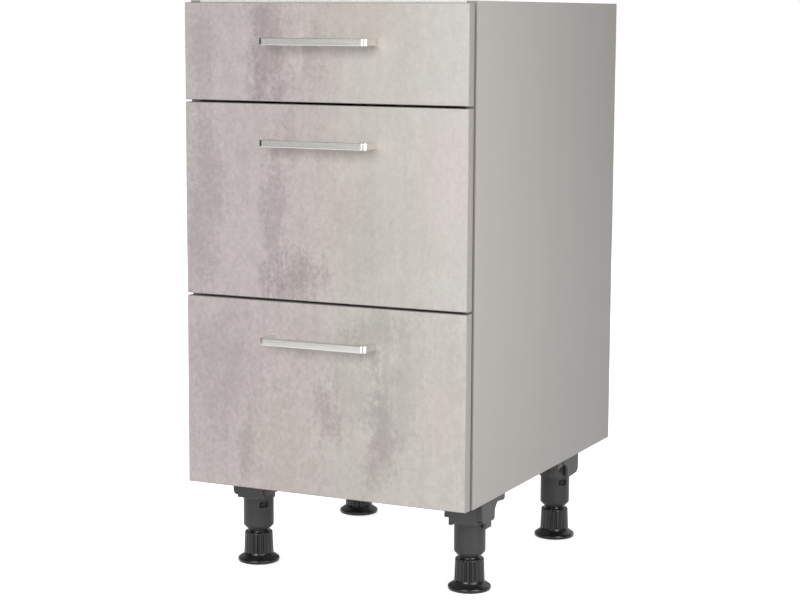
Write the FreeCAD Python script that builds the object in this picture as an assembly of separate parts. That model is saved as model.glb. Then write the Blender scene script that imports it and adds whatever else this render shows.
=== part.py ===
"""Kitchen base cabinet, 450 mm wide: one shallow drawer over two deep drawers, on four screw-adjusted legs.

The carcass is 16 mm faced chipboard, glued at its corners, with a thin back panel in grooves.
Each drawer has a board front with a square bar handle, double-walled steel sides, a board base and back,
and runs on a pair of three-member telescopic runners. The deep drawers carry a round gallery rail each side.

Millimetres. +X is to the right seen from the front, +Y is towards the wall and +Z is up.
The origin is on the floor, in the middle of the cabinet's width and of its depth over the handles.
"""

import FreeCAD, Part
import math
import os

Vec = FreeCAD.Vector
UP = Vec(0, 0, 1)
BACKWARDS = Vec(0, 1, 0)
RIGHTWARDS = Vec(1, 0, 0)

# ---------------------------------------------------------------- driving dimensions
CABINET_WIDTH = 450.0
CARCASS_HEIGHT = 704.0
CARCASS_DEPTH = 560.0
BOARD = 16.0
LEG_HEIGHT = 145.0

FRONT_THICKNESS = 16.0
FRONT_REVEAL = 2.0  # how far a front stops short of the carcass's side
FRONT_AIR = 4.0  # between a closed front and the carcass
FRONT_GAP = 3.2  # between one front and the next
SHALLOW_FRONT = 138.5
DEEP_FRONT = 278.0
FRONT_EDGE_EASE = 0.8

HANDLE_HOLE_SPACING = 160.0
HANDLE_BAR = 10.0  # the bar's square section
HANDLE_PROJECTION = 36.0
HANDLE_OUTER_BEND = 8.0
HANDLE_INNER_BEND = 2.0
HANDLE_DROP = 54.0  # from a front's top edge to its handle's middle

BACK_PANEL = 3.0
BACK_PANEL_INSET = 12.0  # from the carcass's rear edge
GROOVE_DEPTH = 7.5
TOP_RAIL_DEPTH = 90.0
WORKTOP_HOLE_RADIUS = 2.5
WORKTOP_HOLE_X = 150.0

RUNNER_LENGTH = 500.0
RUNNER_SETBACK = 3.0
RUNNER_STEEL = 1.2
RUNNER_LIP = 4.5  # how far the fixed member's flanges turn in at their tips
RUNNER_ABOVE_BASE = 25.0  # from the drawer base's underside to the runner's middle
BALL_STRIP = 3.4
BALL_STRIP_DEPTHS = (6.4, 9.4)

# The runner's three nested members: web face and flange tip, both from the carcass's inner face, and half
# the height.
FIXED_MEMBER = dict(web=0.0, tip=12.0, half=21.0)
MIDDLE_MEMBER = dict(web=3.2, tip=10.2, half=16.0)
DRAWER_MEMBER = dict(web=12.4, tip=6.0, half=11.0)

DRAWER_STEEL = 1.0
DRAWER_SIDE_HEIGHT = 85.5
DRAWER_SIDE_WIDTH = 13.0
DRAWER_SIDE_FLANGE = 25.0  # how far the flange under the drawer's base reaches in
GALLERY_HEIGHT = 150.0
GALLERY_RADIUS = 5.0

LEG_SIDE_INSET = 49.0
LEG_FRONT_INSET = 105.0
LEG_REAR_INSET = 113.0
SLEEVE_RADIUS = 23.0
SPINDLE_RADIUS = 15.8
FLARE_RADIUS = 31.8

# ---------------------------------------------------------------- planes worked out from them
TOTAL_DEPTH = HANDLE_PROJECTION + FRONT_THICKNESS + FRONT_AIR + CARCASS_DEPTH
REAR = TOTAL_DEPTH / 2
CARCASS_FRONT = REAR - CARCASS_DEPTH
FRONT_BACK = CARCASS_FRONT - FRONT_AIR
FRONT_FACE = FRONT_BACK - FRONT_THICKNESS
UNDERSIDE = LEG_HEIGHT
TOP = LEG_HEIGHT + CARCASS_HEIGHT
HALF_WIDTH = CABINET_WIDTH / 2
INSIDE = HALF_WIDTH - BOARD
BACK_FACE = REAR - BACK_PANEL_INSET - BACK_PANEL
RUNNER_FRONT = CARCASS_FRONT + RUNNER_SETBACK
RUNNER_REAR = RUNNER_FRONT + RUNNER_LENGTH
DRAWER_OUTSIDE = INSIDE - DRAWER_MEMBER["web"]  # half the drawer's width over its steel sides

# Each drawer: its front's lower edge and height, the underside of its base, and its back's height.
BOTTOM_EDGE = UNDERSIDE
MIDDLE_EDGE = BOTTOM_EDGE + DEEP_FRONT + FRONT_GAP
TOP_EDGE = MIDDLE_EDGE + DEEP_FRONT + FRONT_GAP
DRAWERS = {
    "bottom": dict(edge=BOTTOM_EDGE, front=DEEP_FRONT, base=BOTTOM_EDGE + 35.0, back=164.0, gallery=True),
    "middle": dict(edge=MIDDLE_EDGE, front=DEEP_FRONT, base=MIDDLE_EDGE + 30.0, back=164.0, gallery=True),
    "top": dict(edge=TOP_EDGE, front=SHALLOW_FRONT, base=TOP_EDGE + 22.0, back=69.0, gallery=False),
}
LEGS = {
    "front_left": (-(HALF_WIDTH - LEG_SIDE_INSET), CARCASS_FRONT + LEG_FRONT_INSET),
    "front_right": (HALF_WIDTH - LEG_SIDE_INSET, CARCASS_FRONT + LEG_FRONT_INSET),
    "rear_left": (-(HALF_WIDTH - LEG_SIDE_INSET), REAR - LEG_REAR_INSET),
    "rear_right": (HALF_WIDTH - LEG_SIDE_INSET, REAR - LEG_REAR_INSET),
}
# Where each leg sleeve's latch window faces, in degrees from straight forwards towards the right.
WINDOW_HEADING = {"front_left": 50.0, "front_right": 230.0, "rear_left": 50.0, "rear_right": 55.0}


# ---------------------------------------------------------------- small helpers
def box(x0, x1, y0, y1, z0, z1):
    """A box between two corners."""
    return Part.makeBox(x1 - x0, y1 - y0, z1 - z0, Vec(x0, y0, z0))


def rod(radius, start, end):
    """A cylinder of this radius from one point to another."""
    along = end - start
    return Part.makeCylinder(radius, along.Length, start, along)


def slab(points, direction):
    """A closed flat outline of (x, y, z) points, pushed along a vector into a solid."""
    corners = [Vec(*p) for p in points]
    return Part.Face(Part.makePolygon(corners + corners[:1])).extrude(direction)


def turned(profile):
    """A solid of revolution about Z from an outline of (radius, z) points."""
    corners = [Vec(r, 0, z) for r, z in profile]
    face = Part.Face(Part.makePolygon(corners + corners[:1]))
    return face.revolve(Vec(0, 0, 0), UP, 360)


def mirrored(shape):
    """The same piece for the cabinet's other side."""
    return shape.mirror(Vec(0, 0, 0), RIGHTWARDS)


def fused(first, *others):
    """One solid from several that touch or overlap."""
    return first.fuse(list(others)).removeSplitter()


def group(shapes):
    """Several separate solids in one node."""
    return Part.makeCompound([solid for shape in shapes for solid in shape.Solids])


# ---------------------------------------------------------------- carcass
def side_panel():
    """The left side, with the back panel's groove."""
    panel = box(-HALF_WIDTH, -INSIDE, CARCASS_FRONT, REAR, UNDERSIDE, TOP)
    low, high = BACK_FACE - 0.1, BACK_FACE + BACK_PANEL + 0.1
    return panel.cut(box(-INSIDE - GROOVE_DEPTH, -INSIDE, low, high, UNDERSIDE, TOP))


def bottom_panel():
    """The carcass's floor, between the sides and in front of the back."""
    return box(-INSIDE, INSIDE, CARCASS_FRONT, BACK_FACE - 0.1, UNDERSIDE, UNDERSIDE + BOARD)


def top_rail(front, rear):
    """A flat rail between the sides, with two holes for worktop screws."""
    rail = box(-INSIDE, INSIDE, front, rear, TOP - BOARD, TOP)
    y = (front + rear) / 2
    places = (-WORKTOP_HOLE_X, WORKTOP_HOLE_X)
    return rail.cut([rod(WORKTOP_HOLE_RADIUS, Vec(x, y, TOP - BOARD), Vec(x, y, TOP)) for x in places])


def back_panel():
    """The thin back, its long edges in the sides' grooves."""
    reach = INSIDE + GROOVE_DEPTH - 0.3
    return box(-reach, reach, BACK_FACE, BACK_FACE + BACK_PANEL, UNDERSIDE + 1.0, TOP - 1.0)


# ---------------------------------------------------------------- runners
def member(sizes, setback, z, lip=0.0):
    """One rolled C-section of a left-hand runner: a web, two flanges and, if asked, lips at their tips."""
    web, tip, half = sizes["web"], sizes["tip"], sizes["half"]
    inwards = 1 if tip > web else -1
    y0, y1 = RUNNER_FRONT + setback, RUNNER_REAR - setback

    def strip(depth_a, depth_b, height_a, height_b):
        x0, x1 = sorted((-INSIDE + depth_a, -INSIDE + depth_b))
        z0, z1 = sorted((z + height_a, z + height_b))
        return box(x0, x1, y0, y1, z0, z1)

    strips = [strip(web, web + inwards * RUNNER_STEEL, -half, half)]
    for side in (-1, 1):
        strips.append(strip(web, tip, side * half, side * (half - RUNNER_STEEL)))
        if lip:
            strips.append(strip(tip - inwards * RUNNER_STEEL, tip, side * half, side * (half - lip)))
    return fused(*strips)


def middle_rail(z):
    """The middle member, with the ball strips that carry it in the fixed one and carry the drawer's own."""
    y0, y1 = RUNNER_FRONT + 9.0, RUNNER_REAR - 9.0
    x0, x1 = [-INSIDE + depth for depth in BALL_STRIP_DEPTHS]
    outside = MIDDLE_MEMBER["half"]
    inside = outside - RUNNER_STEEL
    balls = []
    for low in (outside, inside - BALL_STRIP, -inside, -outside - BALL_STRIP):
        balls.append(box(x0, x1, y0, y1, z + low, z + low + BALL_STRIP))
    return group([member(MIDDLE_MEMBER, 1.0, z)] + balls)


# ---------------------------------------------------------------- drawers
def drawer_front(drawer):
    """A faced board whose front edges are eased."""
    half = HALF_WIDTH - FRONT_REVEAL
    low = drawer["edge"]
    board = box(-half, half, FRONT_FACE, FRONT_BACK, low, low + drawer["front"])
    eased = [edge for edge in board.Edges if edge.BoundBox.YMax < FRONT_FACE + 1e-6]
    return board.makeChamfer(FRONT_EDGE_EASE, eased)


def upright_edges(solid, before):
    """A solid's vertical edges in front of this y."""
    return [
        edge
        for edge in solid.Edges
        if edge.BoundBox.YMax < before and edge.BoundBox.ZLength > edge.BoundBox.XLength + 1
    ]


def handle(z):
    """A square bar bent to a wide U whose legs stand on the front."""
    half = (HANDLE_HOLE_SPACING + HANDLE_BAR) / 2
    outer_y = FRONT_FACE - HANDLE_PROJECTION
    low, high = z - HANDLE_BAR / 2, z + HANDLE_BAR / 2
    block = box(-half, half, outer_y, FRONT_FACE, low, high)
    hollow = box(-half + HANDLE_BAR, half - HANDLE_BAR, outer_y + HANDLE_BAR, FRONT_FACE, low, high)
    block = block.makeFillet(HANDLE_OUTER_BEND, upright_edges(block, FRONT_FACE - 1))
    return block.cut(hollow.makeFillet(HANDLE_INNER_BEND, upright_edges(hollow, FRONT_FACE - 1)))


def drawer_side(base):
    """The left double-walled steel side: a flange under the base, two walls and a round top."""
    outer = -DRAWER_OUTSIDE
    crown = DRAWER_SIDE_WIDTH / 2
    middle = outer + crown
    shoulder = base + DRAWER_SIDE_HEIGHT - crown
    flange = base - DRAWER_STEEL
    foot = base + BOARD + 0.5

    def run(*points):
        corners = [Vec(x, FRONT_BACK, z) for x, z in points]
        return [Part.LineSegment(a, b).toShape() for a, b in zip(corners, corners[1:])]

    def bend(radius):
        points = ((middle - radius, shoulder), (middle, shoulder + radius), (middle + radius, shoulder))
        return Part.Arc(*[Vec(x, FRONT_BACK, z) for x, z in points]).toShape()

    within = crown - DRAWER_STEEL
    outline = [bend(crown), bend(within)]
    outline += run(
        (middle - crown, shoulder),
        (outer, flange),
        (outer + DRAWER_SIDE_FLANGE, flange),
        (outer + DRAWER_SIDE_FLANGE, base),
        (outer + DRAWER_STEEL, base),
        (middle - within, shoulder),
    )
    outline += run(
        (middle + within, shoulder),
        (middle + within, foot),
        (middle + crown, foot),
        (middle + crown, shoulder),
    )
    section = Part.Face(Part.Wire(Part.__sortEdges__(outline)))
    return section.extrude(BACKWARDS * (RUNNER_REAR - FRONT_BACK))


def drawer_base(base):
    """The board that lies on both sides' flanges."""
    half = DRAWER_OUTSIDE - DRAWER_STEEL - 0.4
    return box(-half, half, FRONT_BACK + 0.5, RUNNER_REAR, base, base + BOARD)


def drawer_back(base, height):
    """The board that stands on the base's rear edge, between the sides."""
    half = DRAWER_OUTSIDE - DRAWER_SIDE_WIDTH - 0.2
    return box(-half, half, RUNNER_REAR - BOARD, RUNNER_REAR, base + BOARD, base + BOARD + height)


def gallery_rails(base):
    """A round rail above each steel side, from the front to the rear bracket."""
    x = -DRAWER_OUTSIDE + DRAWER_SIDE_WIDTH / 2
    z = base + GALLERY_HEIGHT
    rail = rod(GALLERY_RADIUS, Vec(x, FRONT_BACK, z), Vec(x, RUNNER_REAR, z))
    return group([rail, mirrored(rail)])


def drawer_brackets(drawer):
    """The angle in each steel side that holds the front, and the plate that holds the back to the side."""
    base = drawer["base"]
    near = -DRAWER_OUTSIDE + DRAWER_STEEL
    far = near + DRAWER_SIDE_WIDTH - 2 * DRAWER_STEEL
    low, high = base + 20.0, base + DRAWER_SIDE_HEIGHT - 10.0
    angle = fused(
        box(near, far, FRONT_BACK, FRONT_BACK + 2.5, low, high),
        box(near, near + 2.0, FRONT_BACK, FRONT_BACK + 40.0, low, high),
    )
    top = base + (GALLERY_HEIGHT + 14.0 if drawer["gallery"] else DRAWER_SIDE_HEIGHT - 2.0)
    plate = box(near, near + 36.0, RUNNER_REAR, RUNNER_REAR + 1.5, base + 2.0, top)
    return group([angle, plate, mirrored(angle), mirrored(plate)])


# ---------------------------------------------------------------- legs
SOCKET_HALF = 30.0  # half the width between the outsides of its cheeks
SOCKET_NEAR = 25.0  # towards the nearer of front and rear
SOCKET_FAR = 21.7
SOCKET_DEPTH = 41.0
SOCKET_WALL = 4.0
SOCKET_PAD = 1.5  # how far the raised middle of the front wall stands out
CHEEK_ROUND = 10.0
GUSSET_WAIST = 23.5
GUSSET_REACH = 42.0
TAB_REACH = 63.0
HOOK_DEPTH = 22.0
LUG_HALF = 9.8
LUG_DEPTH = 51.0
LUGGED_LEGS = ("front_right",)
COLLAR_RADIUS = 25.5
COLLAR_DEPTH = 45.0
SLEEVE_SEAT = 8.0  # from the carcass down to the sleeve's top end
SLEEVE_SHOULDER = 88.0
SLEEVE_END = 93.0
SLEEVE_NOSE_RADIUS = 18.5
SLEEVE_BORE = 16.1
WINDOW_WIDTH = 13.2
WINDOW_TOP = 49.5
WINDOW_HEIGHT = 8.5
FLUTES = 20
GRIP_LOW = 13.0
GRIP_HIGH = 44.5
GRIP_TOP = 47.0
SPINDLE_TOP = 120.0


def place_on_leg(leg, shape):
    """A shape drawn for the front right leg, mirrored as this leg needs and moved to its place."""
    x, y = leg
    if x < 0:
        shape = shape.mirror(Vec(0, 0, 0), RIGHTWARDS)
    if y > 0:
        shape = shape.mirror(Vec(0, 0, 0), BACKWARDS)
    return shape.translated(Vec(x, y, UNDERSIDE))


def outer_cheek():
    """The side wall next to the cabinet's side: round in front, waisted behind and swept out to the tab."""
    corner = CHEEK_ROUND * math.sqrt(0.5)
    knee = -SOCKET_DEPTH + CHEEK_ROUND
    front = Part.Arc(
        Vec(0, -SOCKET_NEAR, knee),
        Vec(0, -SOCKET_NEAR + CHEEK_ROUND - corner, knee - corner),
        Vec(0, -SOCKET_NEAR + CHEEK_ROUND, -SOCKET_DEPTH),
    )
    heel = [Vec(0, SOCKET_FAR - 4.0, -SOCKET_DEPTH - 2.0), Vec(0, SOCKET_FAR, -SOCKET_DEPTH)]
    waist = Vec(0, GUSSET_WAIST, -27.0)
    sweep = Part.Arc(waist, Vec(0, 29.0, -21.3), Vec(0, GUSSET_REACH, -18.0))
    top = [Vec(0, GUSSET_REACH, 0), Vec(0, -SOCKET_NEAR, 0)]
    outline = [
        front.toShape(),
        Part.makePolygon([front.EndPoint, *heel, waist]),
        sweep.toShape(),
        Part.makePolygon([sweep.EndPoint, *top, front.StartPoint]),
    ]
    edges = [edge for run in outline for edge in run.Edges]
    face = Part.Face(Part.Wire(edges))
    return face.extrude(RIGHTWARDS * -SOCKET_WALL).translated(RIGHTWARDS * SOCKET_HALF)


def inner_cheek():
    """The side wall towards the cabinet's middle, which slants straight up to the tab."""
    return slab(
        [
            (-SOCKET_HALF, -SOCKET_NEAR, 0),
            (-SOCKET_HALF, -SOCKET_NEAR, -SOCKET_DEPTH + 5.0),
            (-SOCKET_HALF, -SOCKET_NEAR + 15.0, -SOCKET_DEPTH + 5.0),
            (-SOCKET_HALF, GUSSET_REACH, -HOOK_DEPTH + 6.0),
            (-SOCKET_HALF, GUSSET_REACH, 0),
        ],
        RIGHTWARDS * SOCKET_WALL,
    )


def leg_socket(place, leg):
    """The moulded bracket under the carcass's floor that a leg sleeve plugs into."""
    pad = SOCKET_HALF - 8.0
    hook_side = SOCKET_HALF - 1.0
    parts = [
        outer_cheek(),
        inner_cheek(),
        box(-SOCKET_HALF, SOCKET_HALF, -SOCKET_NEAR, -SOCKET_NEAR + SOCKET_WALL, -SOCKET_DEPTH + 5.0, 0),
        box(-pad, pad, -SOCKET_NEAR - SOCKET_PAD, -SOCKET_NEAR + SOCKET_WALL, -SOCKET_DEPTH - 2.0, 0),
        box(-SOCKET_HALF, SOCKET_HALF, -SOCKET_NEAR, GUSSET_REACH, -SOCKET_WALL, 0),
        box(hook_side - 16.0, hook_side, GUSSET_REACH, TAB_REACH, -SOCKET_WALL, 0),
        box(hook_side - 7.0, hook_side, GUSSET_REACH, TAB_REACH, -HOOK_DEPTH, 0),
        rod(COLLAR_RADIUS, Vec(0, 0, -COLLAR_DEPTH), Vec(0, 0, 0)),
    ]
    if place in LUGGED_LEGS:
        inside = SLEEVE_RADIUS + 0.1
        for low, high in ((-SOCKET_HALF, -inside), (inside, SOCKET_HALF)):
            parts.append(box(low, high, -LUG_HALF, LUG_HALF, -LUG_DEPTH, -SOCKET_WALL))
    bore = rod(SLEEVE_RADIUS + 0.1, Vec(0, 0, -LUG_DEPTH), Vec(0, 0, -SLEEVE_SEAT))
    return place_on_leg(leg, fused(*parts).cut(bore))


def leg_sleeve(leg, heading):
    """The tube that plugs into the socket, with a window for the latch tongue."""
    tube = turned(
        [
            (SLEEVE_BORE, -SLEEVE_SEAT),
            (SLEEVE_RADIUS, -SLEEVE_SEAT),
            (SLEEVE_RADIUS, -SLEEVE_SHOULDER),
            (SLEEVE_NOSE_RADIUS, -SLEEVE_END),
            (SLEEVE_BORE, -SLEEVE_END),
        ]
    )
    half = WINDOW_WIDTH / 2
    low = -WINDOW_TOP - WINDOW_HEIGHT
    window = box(-half, half, -SLEEVE_RADIUS - 1.0, -SLEEVE_RADIUS + 3.5, low, -WINDOW_TOP)
    tongue = box(-half / 2, half / 2, -SLEEVE_RADIUS + 1.4, -SLEEVE_RADIUS + 4.5, low, -WINDOW_TOP - 2.0)
    sleeve = fused(tube.cut(window), tongue)
    sleeve.rotate(Vec(0, 0, 0), UP, heading)
    return sleeve.translated(Vec(leg[0], leg[1], UNDERSIDE))


def fluted_ring(crest, root, z):
    """The corners of a fluted outline: a flat crest and one root point for each flute."""
    pitch = 2 * math.pi / FLUTES
    corners = []
    for flute in range(FLUTES):
        for share, radius in ((0.0, root), (0.25, crest), (0.75, crest)):
            angle = (flute + share) * pitch
            corners.append(Vec(radius * math.cos(angle), radius * math.sin(angle), z))
    return corners


def skinned(rings):
    """A solid with flat sides between corner rings that are scaled copies of one another."""
    faces = [Part.Face(Part.makePolygon(ring + ring[:1])) for ring in (rings[0], rings[-1])]
    for lower, upper in zip(rings, rings[1:]):
        for a, b, c, d in zip(lower, lower[1:] + lower[:1], upper[1:] + upper[:1], upper):
            faces.append(Part.Face(Part.makePolygon([a, b, c, d, a])))
    return Part.Solid(Part.Shell(faces))


def adjusting_foot(leg):
    """The screw foot: a flared base, a fluted grip to turn it by, and the spindle up in the sleeve."""
    base = turned(
        [
            (0, 0),
            (FLARE_RADIUS, 0),
            (FLARE_RADIUS, 6.0),
            (22.6, GRIP_LOW),
            (0, GRIP_LOW),
        ]
    )
    rings = [(22.4, GRIP_LOW), (21.2, GRIP_HIGH), (19.0, GRIP_TOP)]
    grip = skinned([fluted_ring(radius, radius * 0.93, z) for radius, z in rings])
    spindle = rod(SPINDLE_RADIUS, Vec(0, 0, GRIP_TOP), Vec(0, 0, SPINDLE_TOP))
    return fused(base, grip, spindle).translated(Vec(leg[0], leg[1], 0))


# ---------------------------------------------------------------- the whole cabinet
def carcass_nodes():
    """Everything that stays still, without the legs."""
    left = side_panel()
    nodes = {
        "side_panel_left": left,
        "side_panel_right": mirrored(left),
        "bottom_panel": bottom_panel(),
        "front_top_rail": top_rail(CARCASS_FRONT, CARCASS_FRONT + TOP_RAIL_DEPTH),
        "rear_top_rail": top_rail(BACK_FACE - 0.1 - TOP_RAIL_DEPTH, BACK_FACE - 0.1),
        "back_panel": back_panel(),
    }
    for name, drawer in DRAWERS.items():
        z = drawer["base"] + RUNNER_ABOVE_BASE
        rail = member(FIXED_MEMBER, 0.0, z, RUNNER_LIP)
        nodes[f"cabinet_rail_{name}_left"] = rail
        nodes[f"cabinet_rail_{name}_right"] = mirrored(rail)
    return nodes


def leg_nodes():
    """The four legs: the sockets, the sleeves in them, and each leg's own screw foot."""
    nodes = {
        "leg_sockets": group([leg_socket(place, leg) for place, leg in LEGS.items()]),
        "leg_sleeves": group([leg_sleeve(leg, WINDOW_HEADING[place]) for place, leg in LEGS.items()]),
    }
    for place, leg in LEGS.items():
        nodes[f"adjusting_foot_{place}"] = adjusting_foot(leg)
    return nodes


def drawer_nodes(name, drawer):
    """One drawer's pieces and the two middle rails that it runs on."""
    base = drawer["base"]
    z = base + RUNNER_ABOVE_BASE
    handle_z = drawer["edge"] + drawer["front"] - HANDLE_DROP
    side = drawer_side(base)
    rail = middle_rail(z)
    own_rail = member(DRAWER_MEMBER, 1.0, z)
    nodes = {
        f"drawer_front_{name}": drawer_front(drawer),
        f"handle_{name}": handle(handle_z),
        f"drawer_side_{name}_left": side,
        f"drawer_side_{name}_right": mirrored(side),
        f"drawer_base_{name}": drawer_base(base),
        f"drawer_back_{name}": drawer_back(base, drawer["back"]),
        f"drawer_brackets_{name}": drawer_brackets(drawer),
        f"drawer_rails_{name}": group([own_rail, mirrored(own_rail)]),
        f"middle_rail_{name}_left": rail,
        f"middle_rail_{name}_right": mirrored(rail),
    }
    if drawer["gallery"]:
        nodes[f"gallery_rails_{name}"] = gallery_rails(base)
    return nodes


def main():
    """Builds every node and writes its STEP file."""
    nodes = {**carcass_nodes(), **leg_nodes()}
    for name, drawer in DRAWERS.items():
        nodes.update(drawer_nodes(name, drawer))
    os.makedirs("parts", exist_ok=True)
    for name, shape in sorted(nodes.items()):
        if not shape.isValid() or not shape.Solids or min(s.Volume for s in shape.Solids) <= 0:
            raise ValueError(f"{name} is not made of good solids")
        shape.exportStep(f"parts/{name}.step")
    print(len(nodes), "nodes")


main()
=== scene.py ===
"""Kitchen base cabinet with three drawers: its finished surfaces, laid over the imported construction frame.

Metres, in the cabinet's own frame: +X to the right seen from the front, +Y towards the wall, +Z up, and
the origin on the floor. Every piece keeps the size that the frame gives it and moves with the frame's body.
"""

import logging
import math
from dataclasses import dataclass
from enum import Enum
from typing import Callable, Iterable, Sequence

import bmesh
import bpy
from mathutils import Matrix, Vector


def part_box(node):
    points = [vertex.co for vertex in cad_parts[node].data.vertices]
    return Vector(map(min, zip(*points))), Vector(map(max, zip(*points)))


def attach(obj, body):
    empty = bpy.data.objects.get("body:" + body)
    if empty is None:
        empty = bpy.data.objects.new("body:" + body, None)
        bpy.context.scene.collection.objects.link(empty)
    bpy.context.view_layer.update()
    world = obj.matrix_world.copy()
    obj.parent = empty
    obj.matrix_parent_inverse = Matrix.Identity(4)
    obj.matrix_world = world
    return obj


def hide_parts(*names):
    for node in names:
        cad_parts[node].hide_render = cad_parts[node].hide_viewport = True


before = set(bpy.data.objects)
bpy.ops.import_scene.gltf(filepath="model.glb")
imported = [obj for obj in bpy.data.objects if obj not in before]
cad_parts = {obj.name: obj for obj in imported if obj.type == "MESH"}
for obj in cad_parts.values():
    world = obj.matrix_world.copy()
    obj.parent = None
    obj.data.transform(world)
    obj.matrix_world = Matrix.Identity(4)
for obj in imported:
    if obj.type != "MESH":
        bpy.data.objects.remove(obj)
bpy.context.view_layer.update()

LOG = logging.getLogger("cabinet")
MM = 0.001
SHARP_ANGLE = math.radians(35)  # an edge this sharp is eased
SMOOTH_ANGLE = math.radians(50)  # an edge less sharp than this is shaded smooth
SQUARE_ANGLE = math.radians(60)  # an edge this sharp belongs to a sheet's rim, and not to a fold
POINTED = 0.01 * MM  # the radius that stands for a point on a lathe's axis
MIX_A, MIX_B, MIX_OUT = 6, 7, 2  # the colour sockets of Blender's Mix node
Point = tuple[float, float]
Corner = tuple[float, float, float]
Where = Callable[[Vector], bool]
Tree = bpy.types.NodeTree
Socket = bpy.types.NodeSocket
Inputs = dict[str | int, object]
LEFTWARDS, RIGHTWARDS = Vector((-1, 0, 0)), Vector((1, 0, 0))
FORWARDS, BACKWARDS = Vector((0, -1, 0)), Vector((0, 1, 0))
DOWNWARDS, UPWARDS = Vector((0, 0, -1)), Vector((0, 0, 1))


# ------------------------------------------------------------------ named choices
class Side(Enum):
    """The cabinet's two sides, with the sign of X there."""

    LEFT = -1
    RIGHT = 1

    @property
    def word(self) -> str:
        """The side as it stands in names."""
        return self.name.lower()


class Tier(Enum):
    """The three drawers, named as the frame names them."""

    TOP = "top"
    MIDDLE = "middle"
    BOTTOM = "bottom"


class Axis(Enum):
    """A direction to push an outline along, and the two axes that the outline is drawn in."""

    X = (0, 1, 2)
    Y = (1, 0, 2)
    Z = (2, 0, 1)


class Tone(Enum):
    """The tints that lie in clouds over the concrete decor."""

    MAUVE = "#9F9292"
    SAND = "#C5BCB0"
    ROSE = "#D6CAC8"
    SLATE = "#B5B1AB"


# ------------------------------------------------------------------ outlines
def in_mm(*points: Sequence[float]) -> list[tuple[float, ...]]:
    """Turns points that are given in millimetres into metres."""
    return [tuple(value * MM for value in point) for point in points]


def rounded(corners: Sequence[Corner], steps: int = 6) -> list[Point]:
    """Draws a closed outline with a round at each corner.

    Args:
        corners: (a, b, radius) in order round the outline; a radius of 0 keeps the corner sharp.
        steps: straight runs in each round.

    Returns:
        The outline's points.
    """
    points: list[Point] = []
    for index, (a, b, radius) in enumerate(corners):
        here = Vector((a, b))
        if radius <= 0:
            points.append((a, b))
            continue
        before = (Vector(corners[index - 1][:2]) - here).normalized()
        after = (Vector(corners[(index + 1) % len(corners)][:2]) - here).normalized()
        half = before.angle(after) / 2
        centre = here + (before + after).normalized() * (radius / math.sin(half))
        start = here + before * (radius / math.tan(half)) - centre
        sweep = (math.pi - 2 * half) * (1 if before.cross(after) < 0 else -1)
        for step in range(steps + 1):
            turned = Matrix.Rotation(sweep * step / steps, 2) @ start
            points.append(tuple(centre + turned))
    return points


def folded(path: Sequence[Corner], thickness: float) -> list[Point]:
    """Draws the outline of a sheet that is folded along a path.

    Args:
        path: (a, b, inside radius of the fold there) along the middle of the sheet.
        thickness: the sheet's thickness.

    Returns:
        The closed outline's points.
    """
    middle = [Vector(corner[:2]) for corner in path]
    runs = [(b - a).normalized() for a, b in zip(middle, middle[1:])]
    banks: list[list[Corner]] = []
    for sign in (1, -1):
        bank: list[Corner] = []
        for index, point in enumerate(middle):
            before = runs[max(index - 1, 0)]
            after = runs[min(index, len(runs) - 1)]
            normals = [Vector((-run.y, run.x)) * sign for run in (before, after)]
            mitre = (normals[0] + normals[1]) / (1 + normals[0].dot(normals[1]))
            turn = before.cross(after) * sign
            radius = 0.0 if abs(turn) < 1e-6 else path[index][2] + (thickness if turn < 0 else 0.0)
            place = point + mitre * thickness / 2
            bank.append((place.x, place.y, radius))
        banks.append(bank)
    return rounded(banks[0] + banks[1][::-1], steps=4)


def ring(radius: float, sides: int, centre: Point = (0.0, 0.0), turn: float = 0.0) -> list[Point]:
    """Draws a round outline.

    Args:
        radius: its radius.
        sides: how many straight runs it has.
        centre: its centre.
        turn: the first point's angle in radians.

    Returns:
        The outline's points.
    """
    angles = [turn + 2 * math.pi * step / sides for step in range(sides)]
    return [(centre[0] + radius * math.cos(angle), centre[1] + radius * math.sin(angle)) for angle in angles]


def level(sides: int, z: float, radius_at: Callable[[float], float]) -> list[Vector]:
    """Draws a level ring round the Z axis.

    Args:
        sides: how many straight runs it has.
        z: its height.
        radius_at: gives its radius at an angle in radians.

    Returns:
        The ring's points.
    """
    angles = [2 * math.pi * step / sides for step in range(sides)]
    return [Vector((radius_at(a) * math.cos(a), radius_at(a) * math.sin(a), z)) for a in angles]


# ------------------------------------------------------------------ nodes and finishes
def linear(hex_colour: str) -> tuple[float, float, float, float]:
    """Turns an sRGB hex colour into a linear one.

    Args:
        hex_colour: a hash and six hex digits.

    Returns:
        Linear red, green and blue, and an alpha of 1.
    """
    shares = [int(hex_colour[start : start + 2], 16) / 255 for start in (1, 3, 5)]
    red, green, blue = (s / 12.92 if s <= 0.04045 else ((s + 0.055) / 1.055) ** 2.4 for s in shares)
    return (red, green, blue, 1.0)


def add(tree: Tree, kind: str, inputs: Inputs | None = None, **settings: object) -> bpy.types.Node:
    """Adds one node with its settings and links.

    Args:
        tree: the node tree.
        kind: the node's type.
        inputs: for each input socket, by name or number, a value or the output socket to link to it.
        **settings: the node's own properties.

    Returns:
        The node.
    """
    node = tree.nodes.new(kind)
    for name, value in settings.items():
        setattr(node, name, value)
    for key, value in (inputs or {}).items():
        socket = node.inputs[key]
        if isinstance(value, Socket):
            tree.links.new(value, socket)
        else:
            socket.default_value = value
    return node


def fresh(holder: bpy.types.Material | bpy.types.World) -> Tree:
    """Empties a node tree.

    Args:
        holder: the material or the world that the tree belongs to.

    Returns:
        The tree.
    """
    holder.use_nodes = True
    holder.node_tree.nodes.clear()
    return holder.node_tree


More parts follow.
